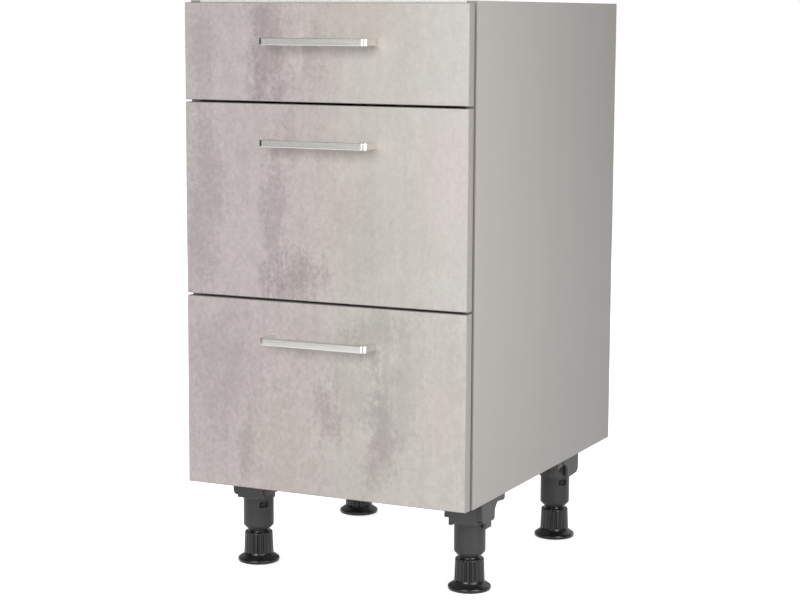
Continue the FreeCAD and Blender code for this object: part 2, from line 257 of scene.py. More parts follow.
@dataclass(frozen=True)
class Finish:
    """A surface finish. Its node material is made once and found again by name."""

    name: str

    def surface(self, tree: Tree, at: Socket) -> Inputs:
        """Lays out the finish's patterns.

        Args:
            tree: the material's node tree.
            at: the place on the piece, in millimetres.

        Returns:
            A value or link for each shader socket that the finish sets.
        """
        raise NotImplementedError

    def material(self) -> bpy.types.Material:
        """Gives the finish's material, and makes it the first time.

        Returns:
            The material.
        """
        found = bpy.data.materials.get(self.name)
        if found:
            return found
        made = bpy.data.materials.new(self.name)
        tree = fresh(made)
        coordinates = add(tree, "ShaderNodeTexCoord").outputs["Object"]
        at = add(
            tree, "ShaderNodeVectorMath", {0: coordinates, "Scale": 1 / MM}, operation="SCALE"
        ).outputs[0]
        shader = add(tree, "ShaderNodeBsdfPrincipled", self.surface(tree, at))
        add(tree, "ShaderNodeOutputMaterial", {"Surface": shader.outputs[0]})
        return made


@dataclass(frozen=True)
class Patch:
    """A soft cloud of one tint in the concrete decor, in millimetres from the front's middle."""

    tone: Tone
    x: float
    z: float
    wide: float
    tall: float
    strength: float


@dataclass(frozen=True)
class ConcreteLaminate(Finish):
    """Melamine laminate printed with a trowelled-concrete decor and pressed against a fine matt plate.

    It gives the eye a dull, dry face: cloudy mauve grey that drifts to a warm pale grey, drawn out in soft
    upright streaks, with a dusty mottle that only shows from near.
    """

    middle: Point = (0.0, 0.0)  # the front's middle, X and Z, in millimetres
    patches: tuple[Patch, ...] = ()
    mauve: str = "#C8BDBC"
    warm: str = "#C9C4BD"
    pale: str = "#D0CCC7"

    def surface(self, tree: Tree, at: Socket) -> Inputs:
        """Lays out the decor. See Finish.surface."""
        layers = {
            # period across and upright in millimetres, detail, roughness
            "warp": (55.0, 90.0, 4.0, 0.55),
            "cloud": (60.0, 120.0, 6.0, 0.62),
            "streak": (15.0, 200.0, 5.0, 0.6),
            "blotch": (24.0, 30.0, 8.0, 0.72),
            "mottle": (6.0, 7.5, 6.0, 0.72),
            # The print's own dust is about 0.5 mm, and it is drawn four times as coarse so that it shows.
            "dust": (2.0, 2.0, 3.0, 0.7),
            "speck": (3.4, 3.8, 4.0, 0.8),
        }
        noise = {}
        for layer, (across, upright, detail, roughness) in layers.items():
            scaled = add(
                tree,
                "ShaderNodeVectorMath",
                {0: at, 1: (1 / across, 1 / across, 1 / upright)},
                operation="MULTIPLY",
            ).outputs[0]
            noise[layer] = add(
                tree,
                "ShaderNodeTexNoise",
                {"Vector": scaled, "Scale": 1.0, "Detail": detail, "Roughness": roughness},
            ).outputs

        def stirred(value: Socket | float, amounts: dict[str, float]) -> Socket:
            """Adds noise layers to a value, each centred on zero and times its amount.

            Args:
                value: what the noise is added to.
                amounts: for each layer's name, how strong it is.

            Returns:
                The stirred value.
            """
            for layer, amount in amounts.items():
                centred = add(
                    tree, "ShaderNodeMath", {0: noise[layer]["Fac"], 1: amount, 2: -amount / 2},
                    operation="MULTIPLY_ADD",
                ).outputs[0]
                value = add(tree, "ShaderNodeMath", {0: value, 1: centred}, operation="ADD").outputs[0]
            return value

        shift = add(
            tree, "ShaderNodeVectorMath", {0: noise["warp"]["Color"], 1: (0.5, 0.5, 0.5)},
            operation="SUBTRACT",
        ).outputs[0]
        warped = add(
            tree, "ShaderNodeVectorMath", {0: shift, 1: (52.0, 0.0, 90.0), 2: at}, operation="MULTIPLY_ADD"
        ).outputs[0]
        across = add(tree, "ShaderNodeSeparateXYZ", {0: warped}).outputs["X"]

        # The drift from mauve on the left to warm grey on the right, broken up by clouds and streaks.
        drift = add(
            tree, "ShaderNodeMapRange", {"Value": across, "From Min": -62.0, "From Max": 62.0}, clamp=False
        ).outputs[0]
        drift = stirred(drift, {"cloud": 1.1, "streak": 1.3, "blotch": 0.8, "mottle": 0.6})
        drift = add(tree, "ShaderNodeMapRange", {"Value": drift}, interpolation_type="SMOOTHSTEP").outputs[0]
        colour = add(
            tree, "ShaderNodeMix", {0: drift, MIX_A: linear(self.mauve), MIX_B: linear(self.warm)},
            data_type="RGBA",
        ).outputs[MIX_OUT]
        right = add(
            tree,
            "ShaderNodeMapRange",
            {"Value": across, "From Min": 70.0, "From Max": 235.0, "To Max": 0.85},
            interpolation_type="SMOOTHSTEP",
        ).outputs[0]
        colour = add(
            tree, "ShaderNodeMix", {0: right, MIX_A: colour, MIX_B: linear(self.pale)}, data_type="RGBA"
        ).outputs[MIX_OUT]

        for patch in self.patches:
            away = add(
                tree,
                "ShaderNodeVectorMath",
                {0: warped, 1: (self.middle[0] + patch.x, 0.0, self.middle[1] + patch.z)},
                operation="SUBTRACT",
            ).outputs[0]
            shares = add(
                tree,
                "ShaderNodeVectorMath",
                {0: away, 1: (2 / patch.wide, 0.0, 2 / patch.tall)},
                operation="MULTIPLY",
            ).outputs[0]
            distance = add(tree, "ShaderNodeVectorMath", {0: shares}, operation="LENGTH").outputs["Value"]
            broken = stirred(distance, {"streak": 1.3, "blotch": 1.7, "mottle": 1.5, "cloud": 0.9})
            share = add(
                tree,
                "ShaderNodeMapRange",
                {"Value": broken, "From Min": 1.6, "From Max": 0.2, "To Max": patch.strength},
                interpolation_type="SMOOTHSTEP",
            ).outputs[0]
            colour = add(
                tree, "ShaderNodeMix", {0: share, MIX_A: colour, MIX_B: linear(patch.tone.value)},
                data_type="RGBA",
            ).outputs[MIX_OUT]

        # Pale grains of sand stand out of the mauve trowel marks, and hardly at all out of the pale ones.
        rough = add(tree, "ShaderNodeMapRange", {"Value": drift, "To Min": 1.0, "To Max": 0.3}).outputs[0]
        grains = add(
            tree,
            "ShaderNodeMapRange",
            {"Value": noise["speck"]["Fac"], "From Min": 0.56, "From Max": 0.7, "To Max": 0.6},
        ).outputs[0]
        share = add(tree, "ShaderNodeMath", {0: grains, 1: rough}, operation="MULTIPLY").outputs[0]
        colour = add(
            tree, "ShaderNodeMix", {0: share, MIX_A: colour, MIX_B: linear(self.pale)}, data_type="RGBA"
        ).outputs[MIX_OUT]

        # Streaks, blotches, mottles and dust change how light the print is, and not its tint.
        light = stirred(1.0, {"streak": 0.14, "cloud": 0.12, "blotch": 0.12, "mottle": 0.2, "dust": 0.18})
        coarse = stirred(0.0, {"blotch": 0.2, "mottle": 0.26, "dust": 0.2})
        light = add(
            tree, "ShaderNodeMath", {0: coarse, 1: rough, 2: light}, operation="MULTIPLY_ADD"
        ).outputs[0]
        colour = add(tree, "ShaderNodeVectorMath", {0: colour, "Scale": light}, operation="SCALE").outputs[0]

        dull = add(
            tree, "ShaderNodeMapRange", {"Value": noise["dust"]["Fac"], "To Min": 0.5, "To Max": 0.64}
        ).outputs[0]
        relief = add(
            tree, "ShaderNodeBump", {"Height": noise["dust"]["Fac"], "Strength": 0.12, "Distance": 0.2 * MM}
        ).outputs[0]
        return {"Base Color": colour, "Roughness": dull, "Normal": relief, "IOR": 1.5}


@dataclass(frozen=True)
class FacedBoard(Finish):
    """Melamine-faced chipboard, pressed with a faint pearl texture.

    It gives the eye an even, satin face whose highlights break up softly.
    """

    colour: str = "#B5B2AE"
    # The pearl texture is about 0.6 mm from bump to bump, and it is drawn at 1.6 mm so that it shows.
    pearl: float = 1.6
    roughness: float = 0.46
    gloss: float = 0.28
    cast: float = 0.03

    def surface(self, tree: Tree, at: Socket) -> Inputs:
        """Lays out the face's pearl texture and its faint cast. See Finish.surface."""
        heights = []
        for across, upright, detail in ((self.pearl, self.pearl, 2.0), (38.0, 240.0, 4.0)):
            scaled = add(
                tree, "ShaderNodeVectorMath", {0: at, 1: (1 / across, 1 / across, 1 / upright)},
                operation="MULTIPLY",
            ).outputs[0]
            heights.append(
                add(
                    tree, "ShaderNodeTexNoise", {"Vector": scaled, "Scale": 1.0, "Detail": detail}
                ).outputs["Fac"]
            )
        bumps, cast = heights
        light = add(
            tree, "ShaderNodeMapRange", {"Value": cast, "To Min": 1 - self.cast, "To Max": 1 + self.cast}
        ).outputs[0]
        grain = add(tree, "ShaderNodeMapRange", {"Value": bumps, "To Min": 0.985, "To Max": 1.015}).outputs[0]
        both = add(tree, "ShaderNodeMath", {0: light, 1: grain}, operation="MULTIPLY").outputs[0]
        plain = linear(self.colour)[:3]
        colour = add(tree, "ShaderNodeVectorMath", {0: plain, "Scale": both}, operation="SCALE").outputs[0]
        satin = add(
            tree,
            "ShaderNodeMapRange",
            {"Value": bumps, "To Min": self.roughness - 0.06, "To Max": self.roughness + 0.06},
        ).outputs[0]
        relief = add(
            tree, "ShaderNodeBump", {"Height": bumps, "Strength": 0.1, "Distance": 0.1 * MM}
        ).outputs[0]
        return {
            "Base Color": colour, "Roughness": satin, "Normal": relief,
            "IOR": 1.5, "Specular IOR Level": self.gloss,
        }


@dataclass(frozen=True)
class EdgeBand(Finish):
    """ABS edge banding, extruded as a tape, glued on and scraped flush.

    It gives the eye a slightly smoother, darker rim with scraper lines that run along it.
    """

    colour: str = "#A5A29F"
    roughness: float = 0.4

    def surface(self, tree: Tree, at: Socket) -> Inputs:
        """Lays out the scraper's chatter marks. See Finish.surface."""
        # Real chatter marks are about 0.8 mm apart, and are drawn at 2.5 mm so that they show.
        marks = add(
            tree, "ShaderNodeTexNoise", {"Vector": at, "Scale": 1 / 2.5, "Detail": 3.0, "Roughness": 0.6}
        ).outputs["Fac"]
        light = add(tree, "ShaderNodeMapRange", {"Value": marks, "To Min": 0.94, "To Max": 1.06}).outputs[0]
        plain = linear(self.colour)[:3]
        colour = add(tree, "ShaderNodeVectorMath", {0: plain, "Scale": light}, operation="SCALE").outputs[0]
        satin = add(
            tree,
            "ShaderNodeMapRange",
            {"Value": marks, "To Min": self.roughness - 0.05, "To Max": self.roughness + 0.08},
        ).outputs[0]
        relief = add(
            tree, "ShaderNodeBump", {"Height": marks, "Strength": 0.08, "Distance": 0.1 * MM}
        ).outputs[0]
        return {"Base Color": colour, "Roughness": satin, "Normal": relief, "IOR": 1.5}


@dataclass(frozen=True)
class RawChipboard(Finish):
    """The sawn edge of three-layer particle board, left bare where nobody looks.

    It gives the eye a straw-brown crumb of chips 1 to 3 mm across, finer near the two faces.
    """

    pale: str = "#C9AC83"
    dark: str = "#8E6F4A"

    def surface(self, tree: Tree, at: Socket) -> Inputs:
        """Lays out the chips. See Finish.surface."""
        chips = add(
            tree, "ShaderNodeTexVoronoi", {"Vector": at, "Scale": 1 / 2.2, "Randomness": 1.0}
        ).outputs
        tint = add(tree, "ShaderNodeSeparateXYZ", {0: chips["Color"]}).outputs["X"]
        dust = add(tree, "ShaderNodeTexNoise", {"Vector": at, "Scale": 1 / 0.9, "Detail": 3.0}).outputs["Fac"]
        share = add(tree, "ShaderNodeMath", {0: tint, 1: dust}, operation="MULTIPLY").outputs[0]
        share = add(tree, "ShaderNodeMapRange", {"Value": share, "From Max": 0.65}).outputs[0]
        colour = add(
            tree, "ShaderNodeMix", {0: share, MIX_A: linear(self.pale), MIX_B: linear(self.dark)},
            data_type="RGBA",
        ).outputs[MIX_OUT]
        relief = add(
            tree, "ShaderNodeBump", {"Height": chips["Distance"], "Strength": 0.5, "Distance": 0.4 * MM}
        ).outputs[0]
        return {"Base Color": colour, "Roughness": 0.85, "Normal": relief, "IOR": 1.45}


@dataclass(frozen=True)
class Hardboard(Finish):
    """Wet-process hardboard, its rear face printed by the wire screen that it was pressed on.

    It gives the eye brown matted fibre with a faint regular screen mark.
    """

    colour: str = "#8E7052"
    fibre: str = "#AE9070"
    # The press's screen has about 1.3 mm between its wires, drawn at 3 mm so that it shows.
    screen: float = 3.0

    def surface(self, tree: Tree, at: Socket) -> Inputs:
        """Lays out the fibres and the screen mark. See Finish.surface."""
        matted = add(
            tree, "ShaderNodeTexNoise", {"Vector": at, "Scale": 1 / 5.0, "Detail": 6.0, "Distortion": 1.5}
        ).outputs["Fac"]
        weave = []
        for direction in ("X", "Z"):
            weave.append(
                add(
                    tree,
                    "ShaderNodeTexWave",
                    {"Vector": at, "Scale": math.pi / (10 * self.screen), "Distortion": 0.4},
                    bands_direction=direction,
                ).outputs["Fac"]
            )
        crossed = add(tree, "ShaderNodeMath", {0: weave[0], 1: weave[1]}, operation="MULTIPLY").outputs[0]
        colour = add(
            tree, "ShaderNodeMix", {0: matted, MIX_A: linear(self.colour), MIX_B: linear(self.fibre)},
            data_type="RGBA",
        ).outputs[MIX_OUT]
        relief = add(
            tree, "ShaderNodeBump", {"Height": crossed, "Strength": 0.4, "Distance": 0.25 * MM}
        ).outputs[0]
        return {"Base Color": colour, "Roughness": 0.72, "Normal": relief, "IOR": 1.45}


@dataclass(frozen=True)
class SatinBar(Finish):
    """Square steel bar, nickel plated and brushed along its length.

    It gives the eye a warm silver with long soft highlights, brighter along the eased edges.
    """

    colour: str = "#EAE8E4"
    roughness: float = 0.2

    def surface(self, tree: Tree, at: Socket) -> Inputs:
        """Lays out the brush lines. See Finish.surface."""
        # Brush lines of a 320 grit belt are under 0.1 mm apart, and are drawn at 0.7 mm so that they show.
        lines = add(
            tree, "ShaderNodeVectorMath", {0: at, 1: (1 / 45, 1 / 45, 1 / 0.7)}, operation="MULTIPLY"
        ).outputs[0]
        brushed = add(
            tree, "ShaderNodeTexNoise", {"Vector": lines, "Scale": 1.0, "Detail": 4.0}
        ).outputs["Fac"]
        light = add(tree, "ShaderNodeMapRange", {"Value": brushed, "To Min": 0.95, "To Max": 1.04}).outputs[0]
        plain = linear(self.colour)[:3]
        colour = add(tree, "ShaderNodeVectorMath", {0: plain, "Scale": light}, operation="SCALE").outputs[0]
        satin = add(
            tree,
            "ShaderNodeMapRange",
            {"Value": brushed, "To Min": self.roughness - 0.06, "To Max": self.roughness + 0.08},
        ).outputs[0]
        relief = add(
            tree, "ShaderNodeBump", {"Height": brushed, "Strength": 0.06, "Distance": 0.05 * MM}
        ).outputs[0]
        return {
            "Base Color": colour, "Metallic": 1.0, "Roughness": satin, "Normal": relief, "Anisotropic": 0.4,
        }


@dataclass(frozen=True)
class ZincSteel(Finish):
    """Rolled strip steel with bright zinc plating, used for runners, plates and screws.

    It gives the eye a cool grey metal with faint cloudy crystals and rolling lines.
    """

    colour: str = "#B4B8BC"
    roughness: float = 0.34
    crystal: float = 7.0

    def surface(self, tree: Tree, at: Socket) -> Inputs:
        """Lays out the zinc's crystals. See Finish.surface."""
        cells = add(
            tree, "ShaderNodeTexVoronoi", {"Vector": at, "Scale": 1 / self.crystal, "Randomness": 1.0}
        ).outputs["Color"]
        facet = add(tree, "ShaderNodeSeparateXYZ", {0: cells}).outputs["X"]
        cloud = add(
            tree, "ShaderNodeTexNoise", {"Vector": at, "Scale": 1 / 3.0, "Detail": 4.0}
        ).outputs["Fac"]
        mixed = add(
            tree, "ShaderNodeMath", {0: facet, 1: 0.35, 2: cloud}, operation="MULTIPLY_ADD"
        ).outputs[0]
        light = add(
            tree, "ShaderNodeMapRange", {"Value": mixed, "From Min": 0.2, "To Min": 0.88, "To Max": 1.05}
        ).outputs[0]
        plain = linear(self.colour)[:3]
        colour = add(tree, "ShaderNodeVectorMath", {0: plain, "Scale": light}, operation="SCALE").outputs[0]
        satin = add(
            tree,
            "ShaderNodeMapRange",
            {"Value": mixed, "To Min": self.roughness - 0.08, "To Max": self.roughness + 0.12},
        ).outputs[0]
        return {"Base Color": colour, "Metallic": 1.0, "Roughness": satin}


@dataclass(frozen=True)
class PowderCoat(Finish):
    """Epoxy powder coat baked on the steel drawer sides.

    It gives the eye an even grey with the fine orange peel of the melted powder.
    """

    colour: str = "#A7A9AB"
    # The orange peel is about 1 mm from crest to crest, drawn at 1.8 mm so that it shows.
    peel: float = 1.8

    def surface(self, tree: Tree, at: Socket) -> Inputs:
        """Lays out the orange peel. See Finish.surface."""
        peel = add(
            tree, "ShaderNodeTexNoise", {"Vector": at, "Scale": 1 / self.peel, "Detail": 2.0}
        ).outputs["Fac"]
        light = add(tree, "ShaderNodeMapRange", {"Value": peel, "To Min": 0.97, "To Max": 1.03}).outputs[0]
        plain = linear(self.colour)[:3]
        colour = add(tree, "ShaderNodeVectorMath", {0: plain, "Scale": light}, operation="SCALE").outputs[0]
        satin = add(tree, "ShaderNodeMapRange", {"Value": peel, "To Min": 0.4, "To Max": 0.52}).outputs[0]
        relief = add(
            tree, "ShaderNodeBump", {"Height": peel, "Strength": 0.25, "Distance": 0.15 * MM}
        ).outputs[0]
        return {"Base Color": colour, "Roughness": satin, "Normal": relief, "IOR": 1.52}


@dataclass(frozen=True)
class MouldedPlastic(Finish):
    """Injection-moulded plastic from a spark-eroded or polished mould.

    It gives the eye a charcoal skin, matt and finely grained from an eroded mould, or black and slick from
    a polished one.
    """

    colour: str = "#303133"
    roughness: float = 0.5
    # The eroded mould's grain is about 0.4 mm, drawn at 1.2 mm so that it shows.
    grain: float = 1.2
    depth: float = 0.3
    mottle: float = 0.12
    gloss: float = 0.22  # the shader's specular level: low, because the grain scatters most of the shine

    def surface(self, tree: Tree, at: Socket) -> Inputs:
        """Lays out the mould's grain and the flow marks. See Finish.surface."""
        grain = add(
            tree, "ShaderNodeTexNoise", {"Vector": at, "Scale": 1 / self.grain, "Detail": 3.0}
        ).outputs["Fac"]
        flow = add(
            tree, "ShaderNodeTexNoise", {"Vector": at, "Scale": 1 / 14.0, "Detail": 4.0, "Distortion": 1.0}
        ).outputs["Fac"]
        light = add(
            tree, "ShaderNodeMapRange", {"Value": flow, "To Min": 1 - self.mottle, "To Max": 1 + self.mottle}
        ).outputs[0]
        plain = linear(self.colour)[:3]
        colour = add(tree, "ShaderNodeVectorMath", {0: plain, "Scale": light}, operation="SCALE").outputs[0]
        satin = add(
            tree,
            "ShaderNodeMapRange",
            {"Value": flow, "To Min": self.roughness - 0.07, "To Max": self.roughness + 0.07},
        ).outputs[0]
        relief = add(
            tree, "ShaderNodeBump", {"Height": grain, "Strength": self.depth, "Distance": 0.1 * MM}
        ).outputs[0]
        return {
            "Base Color": colour, "Roughness": satin, "Normal": relief,
            "IOR": 1.49, "Specular IOR Level": self.gloss,
        }


GREY_FACE = FacedBoard("melamine_light_grey", colour="#B3AFAB")
WHITE_FACE = FacedBoard("melamine_white", colour="#E6E5E1", roughness=0.42)
REAR_FACE = FacedBoard("melamine_balancing_face", colour="#C9C7C3")
GREY_BAND = EdgeBand("abs_band_grey", colour="#9B9895")
FRONT_BAND = EdgeBand("abs_band_front", colour="#A19C98")
WHITE_BAND = EdgeBand("abs_band_white", colour="#E9E8E4", roughness=0.36)
RAW_EDGE = RawChipboard("chipboard_sawn_edge")
BACK_FIBRE = Hardboard("hardboard_screen_side")
HANDLE_METAL = SatinBar("nickel_plated_bar")
RUNNER_ZINC = ZincSteel("zinc_plated_strip")
SCREW_ZINC = ZincSteel("zinc_plated_screw", colour="#C4C6C8", roughness=0.26, crystal=2.0)
BALL_CHROME = ZincSteel("chrome_steel_ball", colour="#D0D2D4", roughness=0.14, crystal=1.5)
DRAWER_COAT = PowderCoat("powder_coat_drawer_side")
SOCKET_PLASTIC = MouldedPlastic("polypropylene_socket", colour="#4A4A4A", roughness=0.5, gloss=0.4)
SLEEVE_PLASTIC = MouldedPlastic("polypropylene_sleeve", colour="#464646", roughness=0.44, mottle=0.2)
FOOT_PLASTIC = MouldedPlastic("abs_screw_foot", colour="#1A1A1A", roughness=0.22, depth=0.03, gloss=0.5)
CLIP_PLASTIC = MouldedPlastic(
    "moulded_grey_clip", colour="#8F9193", roughness=0.42, depth=0.15, mottle=0.04, gloss=0.5
)
BUMPER_GEL = MouldedPlastic(
    "polyurethane_bumper", colour="#D9D9D6", roughness=0.2, depth=0.05, mottle=0.03, gloss=0.5
)


# ------------------------------------------------------------------ solids in the making
def hung(name: str, data: bpy.types.ID) -> bpy.types.Object:
    """Makes an object of some data and puts it in the scene.

    Args:
        name: its name.
        data: its mesh, lamp or camera.

    Returns:
        The Blender object.
    """
    made = bpy.data.objects.new(name, data)
    bpy.context.scene.collection.objects.link(made)
    return made


def aimed(place: Sequence[float], direction: Vector, forwards: str = "Z") -> Matrix:
    """A placing that turns one axis to a direction and moves the origin to a place."""
    return Matrix.Translation(place) @ direction.to_track_quat(forwards, "Y").to_matrix().to_4x4()


class Blank:
    """A closed solid in the making, in metres, before it becomes a Blender object."""

    def __init__(self, mesh: bmesh.types.BMesh | None = None) -> None:
        """Starts from a mesh, or from nothing."""
        self.mesh = mesh or bmesh.new()
        self.finishes: list[Finish] = []

    @classmethod
    def block(cls, low: Sequence[float], high: Sequence[float]) -> "Blank":
        """Makes a square-edged block from its lowest and highest corners.

        Args:
            low: its lowest corner.
            high: its highest corner.

        Returns:
            The solid.
        """
        blank = cls()
        size = Vector(high) - Vector(low)
        place = Matrix.Translation((Vector(low) + Vector(high)) / 2) @ Matrix.Diagonal((*size, 1.0))
        bmesh.ops.create_cube(blank.mesh, size=1.0, matrix=place)
        return blank

    @classmethod
    def extruded(
        cls, outline: Sequence[Point], axis: Axis, start: float, end: float,
        holes: Iterable[Sequence[Point]] = (),
    ) -> "Blank":
        """Pushes a closed outline along an axis.

        Args:
            outline: its points, in the axis's two drawing directions.
            axis: the direction to push it in.
            start: where it starts along the axis.
            end: where it ends.
            holes: outlines of the holes that go right through.

        Returns:
            The solid.
        """
        blank = cls()
        along, first, second = axis.value
        edges = []
        for loop in (outline, *holes):
            corners = []
            for a, b in loop:
                place = [0.0, 0.0, 0.0]
                place[along], place[first], place[second] = start, a, b
                corners.append(blank.mesh.verts.new(place))
            edges += [blank.mesh.edges.new(pair) for pair in zip(corners, corners[1:] + corners[:1])]
        if holes:
            bmesh.ops.triangle_fill(blank.mesh, edges=edges, use_beauty=True)
        else:
            bmesh.ops.edgenet_fill(blank.mesh, edges=edges)
        pushed = bmesh.ops.extrude_face_region(blank.mesh, geom=blank.mesh.faces[:])["geom"]
        moved = [item for item in pushed if isinstance(item, bmesh.types.BMVert)]
        travel = Vector((0.0, 0.0, 0.0))
        travel[along] = end - start
        bmesh.ops.translate(blank.mesh, verts=moved, vec=travel)
        bmesh.ops.recalc_face_normals(blank.mesh, faces=blank.mesh.faces[:])
        return blank

    @classmethod
    def skinned(cls, rings: Sequence[Sequence[Vector]], closed: bool = False) -> "Blank":
        """Skins rings of the same number of points.

        Args:
            rings: the rings, in order along the solid.
            closed: true if the last ring joins the first, and there are no ends to cap.

        Returns:
            The solid.
        """
        blank = cls()
        made = [[blank.mesh.verts.new(point) for point in points] for points in rings]
        for lower, upper in list(zip(made, made[1:])) + ([(made[-1], made[0])] if closed else []):
            count = len(lower)
            for index in range(count):
                after = (index + 1) % count
                blank.mesh.faces.new((lower[index], lower[after], upper[after], upper[index]))
        if not closed:
            blank.mesh.faces.new(made[0][::-1])
            blank.mesh.faces.new(made[-1])
        bmesh.ops.recalc_face_normals(blank.mesh, faces=blank.mesh.faces[:])
        return blank

    @classmethod
    def turned(cls, profile: Sequence[Point], sides: int = 48, closed: bool = False) -> "Blank":
        """Turns a profile about Z, as on a lathe.

        Args:
            profile: (radius, z) points from one end to the other, or all the way round a tube's section.
            sides: how many flat sides stand for the round.
            closed: true for a tube, whose profile closes on itself.

        Returns:
            The solid.
        """
        return cls.skinned([level(sides, z, lambda angle: radius) for radius, z in profile], closed)

    def eased(
        self, width: float, steps: int = 2, where: Where | None = None, least: float = SHARP_ANGLE
    ) -> "Blank":
        """Rounds the sharp edges.

        Args:
            width: how far the round reaches from the edge.
            steps: how many flat strips stand for it.
            where: a test of an edge's middle; all sharp edges if it is left out.
            least: the least angle that counts as sharp.

        Returns:
            This solid.
        """
        chosen = []
        for edge in self.mesh.edges:
            if len(edge.link_faces) != 2 or edge.calc_face_angle(0.0) < least:
                continue
            if where is None or where((edge.verts[0].co + edge.verts[1].co) / 2):
                chosen.append(edge)
        if chosen:
            bmesh.ops.bevel(
                self.mesh, geom=chosen, offset=width, segments=steps, profile=0.5, affect="EDGES",
                clamp_overlap=True, material=-1,
            )
        return self

    def _number(self, finish: Finish) -> int:
        """The finish's number on this solid.

        Args:
            finish: the finish, which may be new to the solid.

        Returns:
            The number.
        """
        if finish not in self.finishes:
            self.finishes.append(finish)
        return self.finishes.index(finish)

    def dressed(self, finish: Finish, *facings: Vector, where: Where | None = None) -> "Blank":
        """Gives faces a finish.

        Args:
            finish: the finish.
            *facings: only faces that look one of these ways, or all if there are none.
            where: a test of a face's middle.

        Returns:
            This solid.
        """
        number = self._number(finish)
        self.mesh.normal_update()
        for face in self.mesh.faces:
            looks = not facings or any(face.normal.dot(facing) >= 0.9 for facing in facings)
            if looks and (where is None or where(face.calc_center_median())):
                face.material_index = number
        return self

    def rimmed(self, finish: Finish, width: float, facing: Vector) -> "Blank":
        """Gives the outer rim of the flat face that looks one way another finish.

        Args:
            finish: the rim's finish.
            width: the rim's width.
            facing: the way that the face looks.

        Returns:
            This solid.
        """
        number = self._number(finish)
        self.mesh.normal_update()
        faces = [face for face in self.mesh.faces if face.normal.dot(facing) > 0.99]
        made = bmesh.ops.inset_region(self.mesh, faces=faces, thickness=width, use_even_offset=True)
        for face in made["faces"]:
            face.material_index = number
        return self

    def cut(self, *cutters: "Blank") -> "Blank":
        """Takes other solids away from this one.

        Args:
            *cutters: the solids to take away.

        Returns:
            This solid.
        """
        target = self._loose("cut_target")
        spent = [target.data]
        for cutter in cutters:
            tool = cutter._loose("cut_tool")
            change = target.modifiers.new("cut", "BOOLEAN")
            change.object = tool
            change.solver = "EXACT"
            shown = target.evaluated_get(bpy.context.evaluated_depsgraph_get())
            solved = bpy.data.meshes.new_from_object(shown)
            target.modifiers.remove(change)
            target.data = solved
            spent += [tool.data, solved]
            bpy.data.objects.remove(tool)
        self.mesh.clear()
        self.mesh.from_mesh(target.data)
        bpy.data.objects.remove(target)
        for data in spent:
            bpy.data.meshes.remove(data)
        bmesh.ops.remove_doubles(self.mesh, verts=self.mesh.verts[:], dist=1e-7)
        return self

    def _loose(self, name: str) -> bpy.types.Object:
        """This solid as a bare object that isn't a piece.

        Args:
            name: its name.

        Returns:
            The Blender object.
        """
        data = bpy.data.meshes.new(name)
        self.mesh.to_mesh(data)
        return hung(name, data)

    def placed(self, place: Matrix) -> "Blank":
        """Moves the solid, and keeps its faces outwards if the move mirrors it.

        Args:
            place: the placing.

        Returns:
            This solid.
        """
        bmesh.ops.transform(self.mesh, matrix=place, verts=self.mesh.verts[:])
        if place.determinant() < 0:
            bmesh.ops.reverse_faces(self.mesh, faces=self.mesh.faces[:])
        return self

    def copied(self) -> "Blank":
        """Makes another solid like this one.

        Returns:
            The copy.
        """
        twin = Blank(self.mesh.copy())
        twin.finishes = list(self.finishes)
        return twin

    def joined(self, *others: "Blank") -> "Blank":
        """Takes other solids into this one, each with its own finishes.

        Args:
            *others: the solids to take in; they stay as they are.

        Returns:
            This solid.
        """
        for other in others:
            numbers = [self._number(finish) for finish in other.finishes]
            data = bpy.data.meshes.new("joined")
            other.mesh.to_mesh(data)
            for polygon in data.polygons:
                polygon.material_index = numbers[polygon.material_index] if numbers else 0
            self.mesh.from_mesh(data)
            bpy.data.meshes.remove(data)
        return self

    def piece(self, name: str, body: str, slot: str, *nodes: str) -> bpy.types.Object:
        """Makes the finished piece and hands it to the frame.

        Args:
            name: the piece's name.
            body: the body that it moves with.
            slot: the material slot that its finish belongs to; it is not used.
            *nodes: the frame's nodes that it stands for.

        Returns:
            The Blender object.
        """
        for face in self.mesh.faces:
            face.smooth = True
        made = self._loose(name)
        for finish in self.finishes:
            made.data.materials.append(finish.material())
        made.data.set_sharp_from_angle(angle=SMOOTH_ANGLE)
        flat = made.modifiers.new("flat_faces", "WEIGHTED_NORMAL")
        flat.keep_sharp = True
        flat.weight = 100
        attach(made, body)
        if nodes:
            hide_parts(*nodes)
        LOG.info("%s on %s, %d faces", name, body, len(made.data.polygons))
        return made


class ScrewBox:
    """Gives out cross-recessed screw heads, each size of which is made once."""

    def __init__(self) -> None:
        """Starts with no sizes made."""
        self.made: dict[Point, Blank] = {}

    def _head(self, radius: float, height: float) -> Blank:
        """Turns a head with its seat at z 0, and cuts its recess.

        Args:
            radius: its radius, in metres.
            height: its height, in metres.

        Returns:
            The head.
        """
        dome = [(0.0, 1.0), (0.45, 0.97), (0.75, 0.82), (0.93, 0.5), (1.0, 0.15), (1.0, 0.0), (0.0, 0.0)]
        head = Blank.turned([(max(share * radius, POINTED), rise * height) for share, rise in dome], 28)
        long, narrow = 0.58 * radius, 0.14 * radius
        slots = []
        for turn in (0.0, math.pi / 2):
            blade = Blank.block((-long, -narrow, 0.35 * height), (long, narrow, 1.3 * height))
            slots.append(blade.placed(Matrix.Rotation(turn + 0.3, 4, "Z")))
        return head.cut(*slots).dressed(SCREW_ZINC)

    def screw(self, place: Sequence[float], direction: Vector, radius: float, height: float) -> Blank:
        """Sets a screw.

        Args:
            place: the middle of its seat.
            direction: the way that its head looks.
            radius: the head's radius, in millimetres.
            height: the head's height, in millimetres.

        Returns:
            The head, in place.
        """
        key = (radius, height)
        if key not in self.made:
            self.made[key] = self._head(radius * MM, height * MM)
        return self.made[key].copied().placed(aimed(place, direction))


SCREWS = ScrewBox()


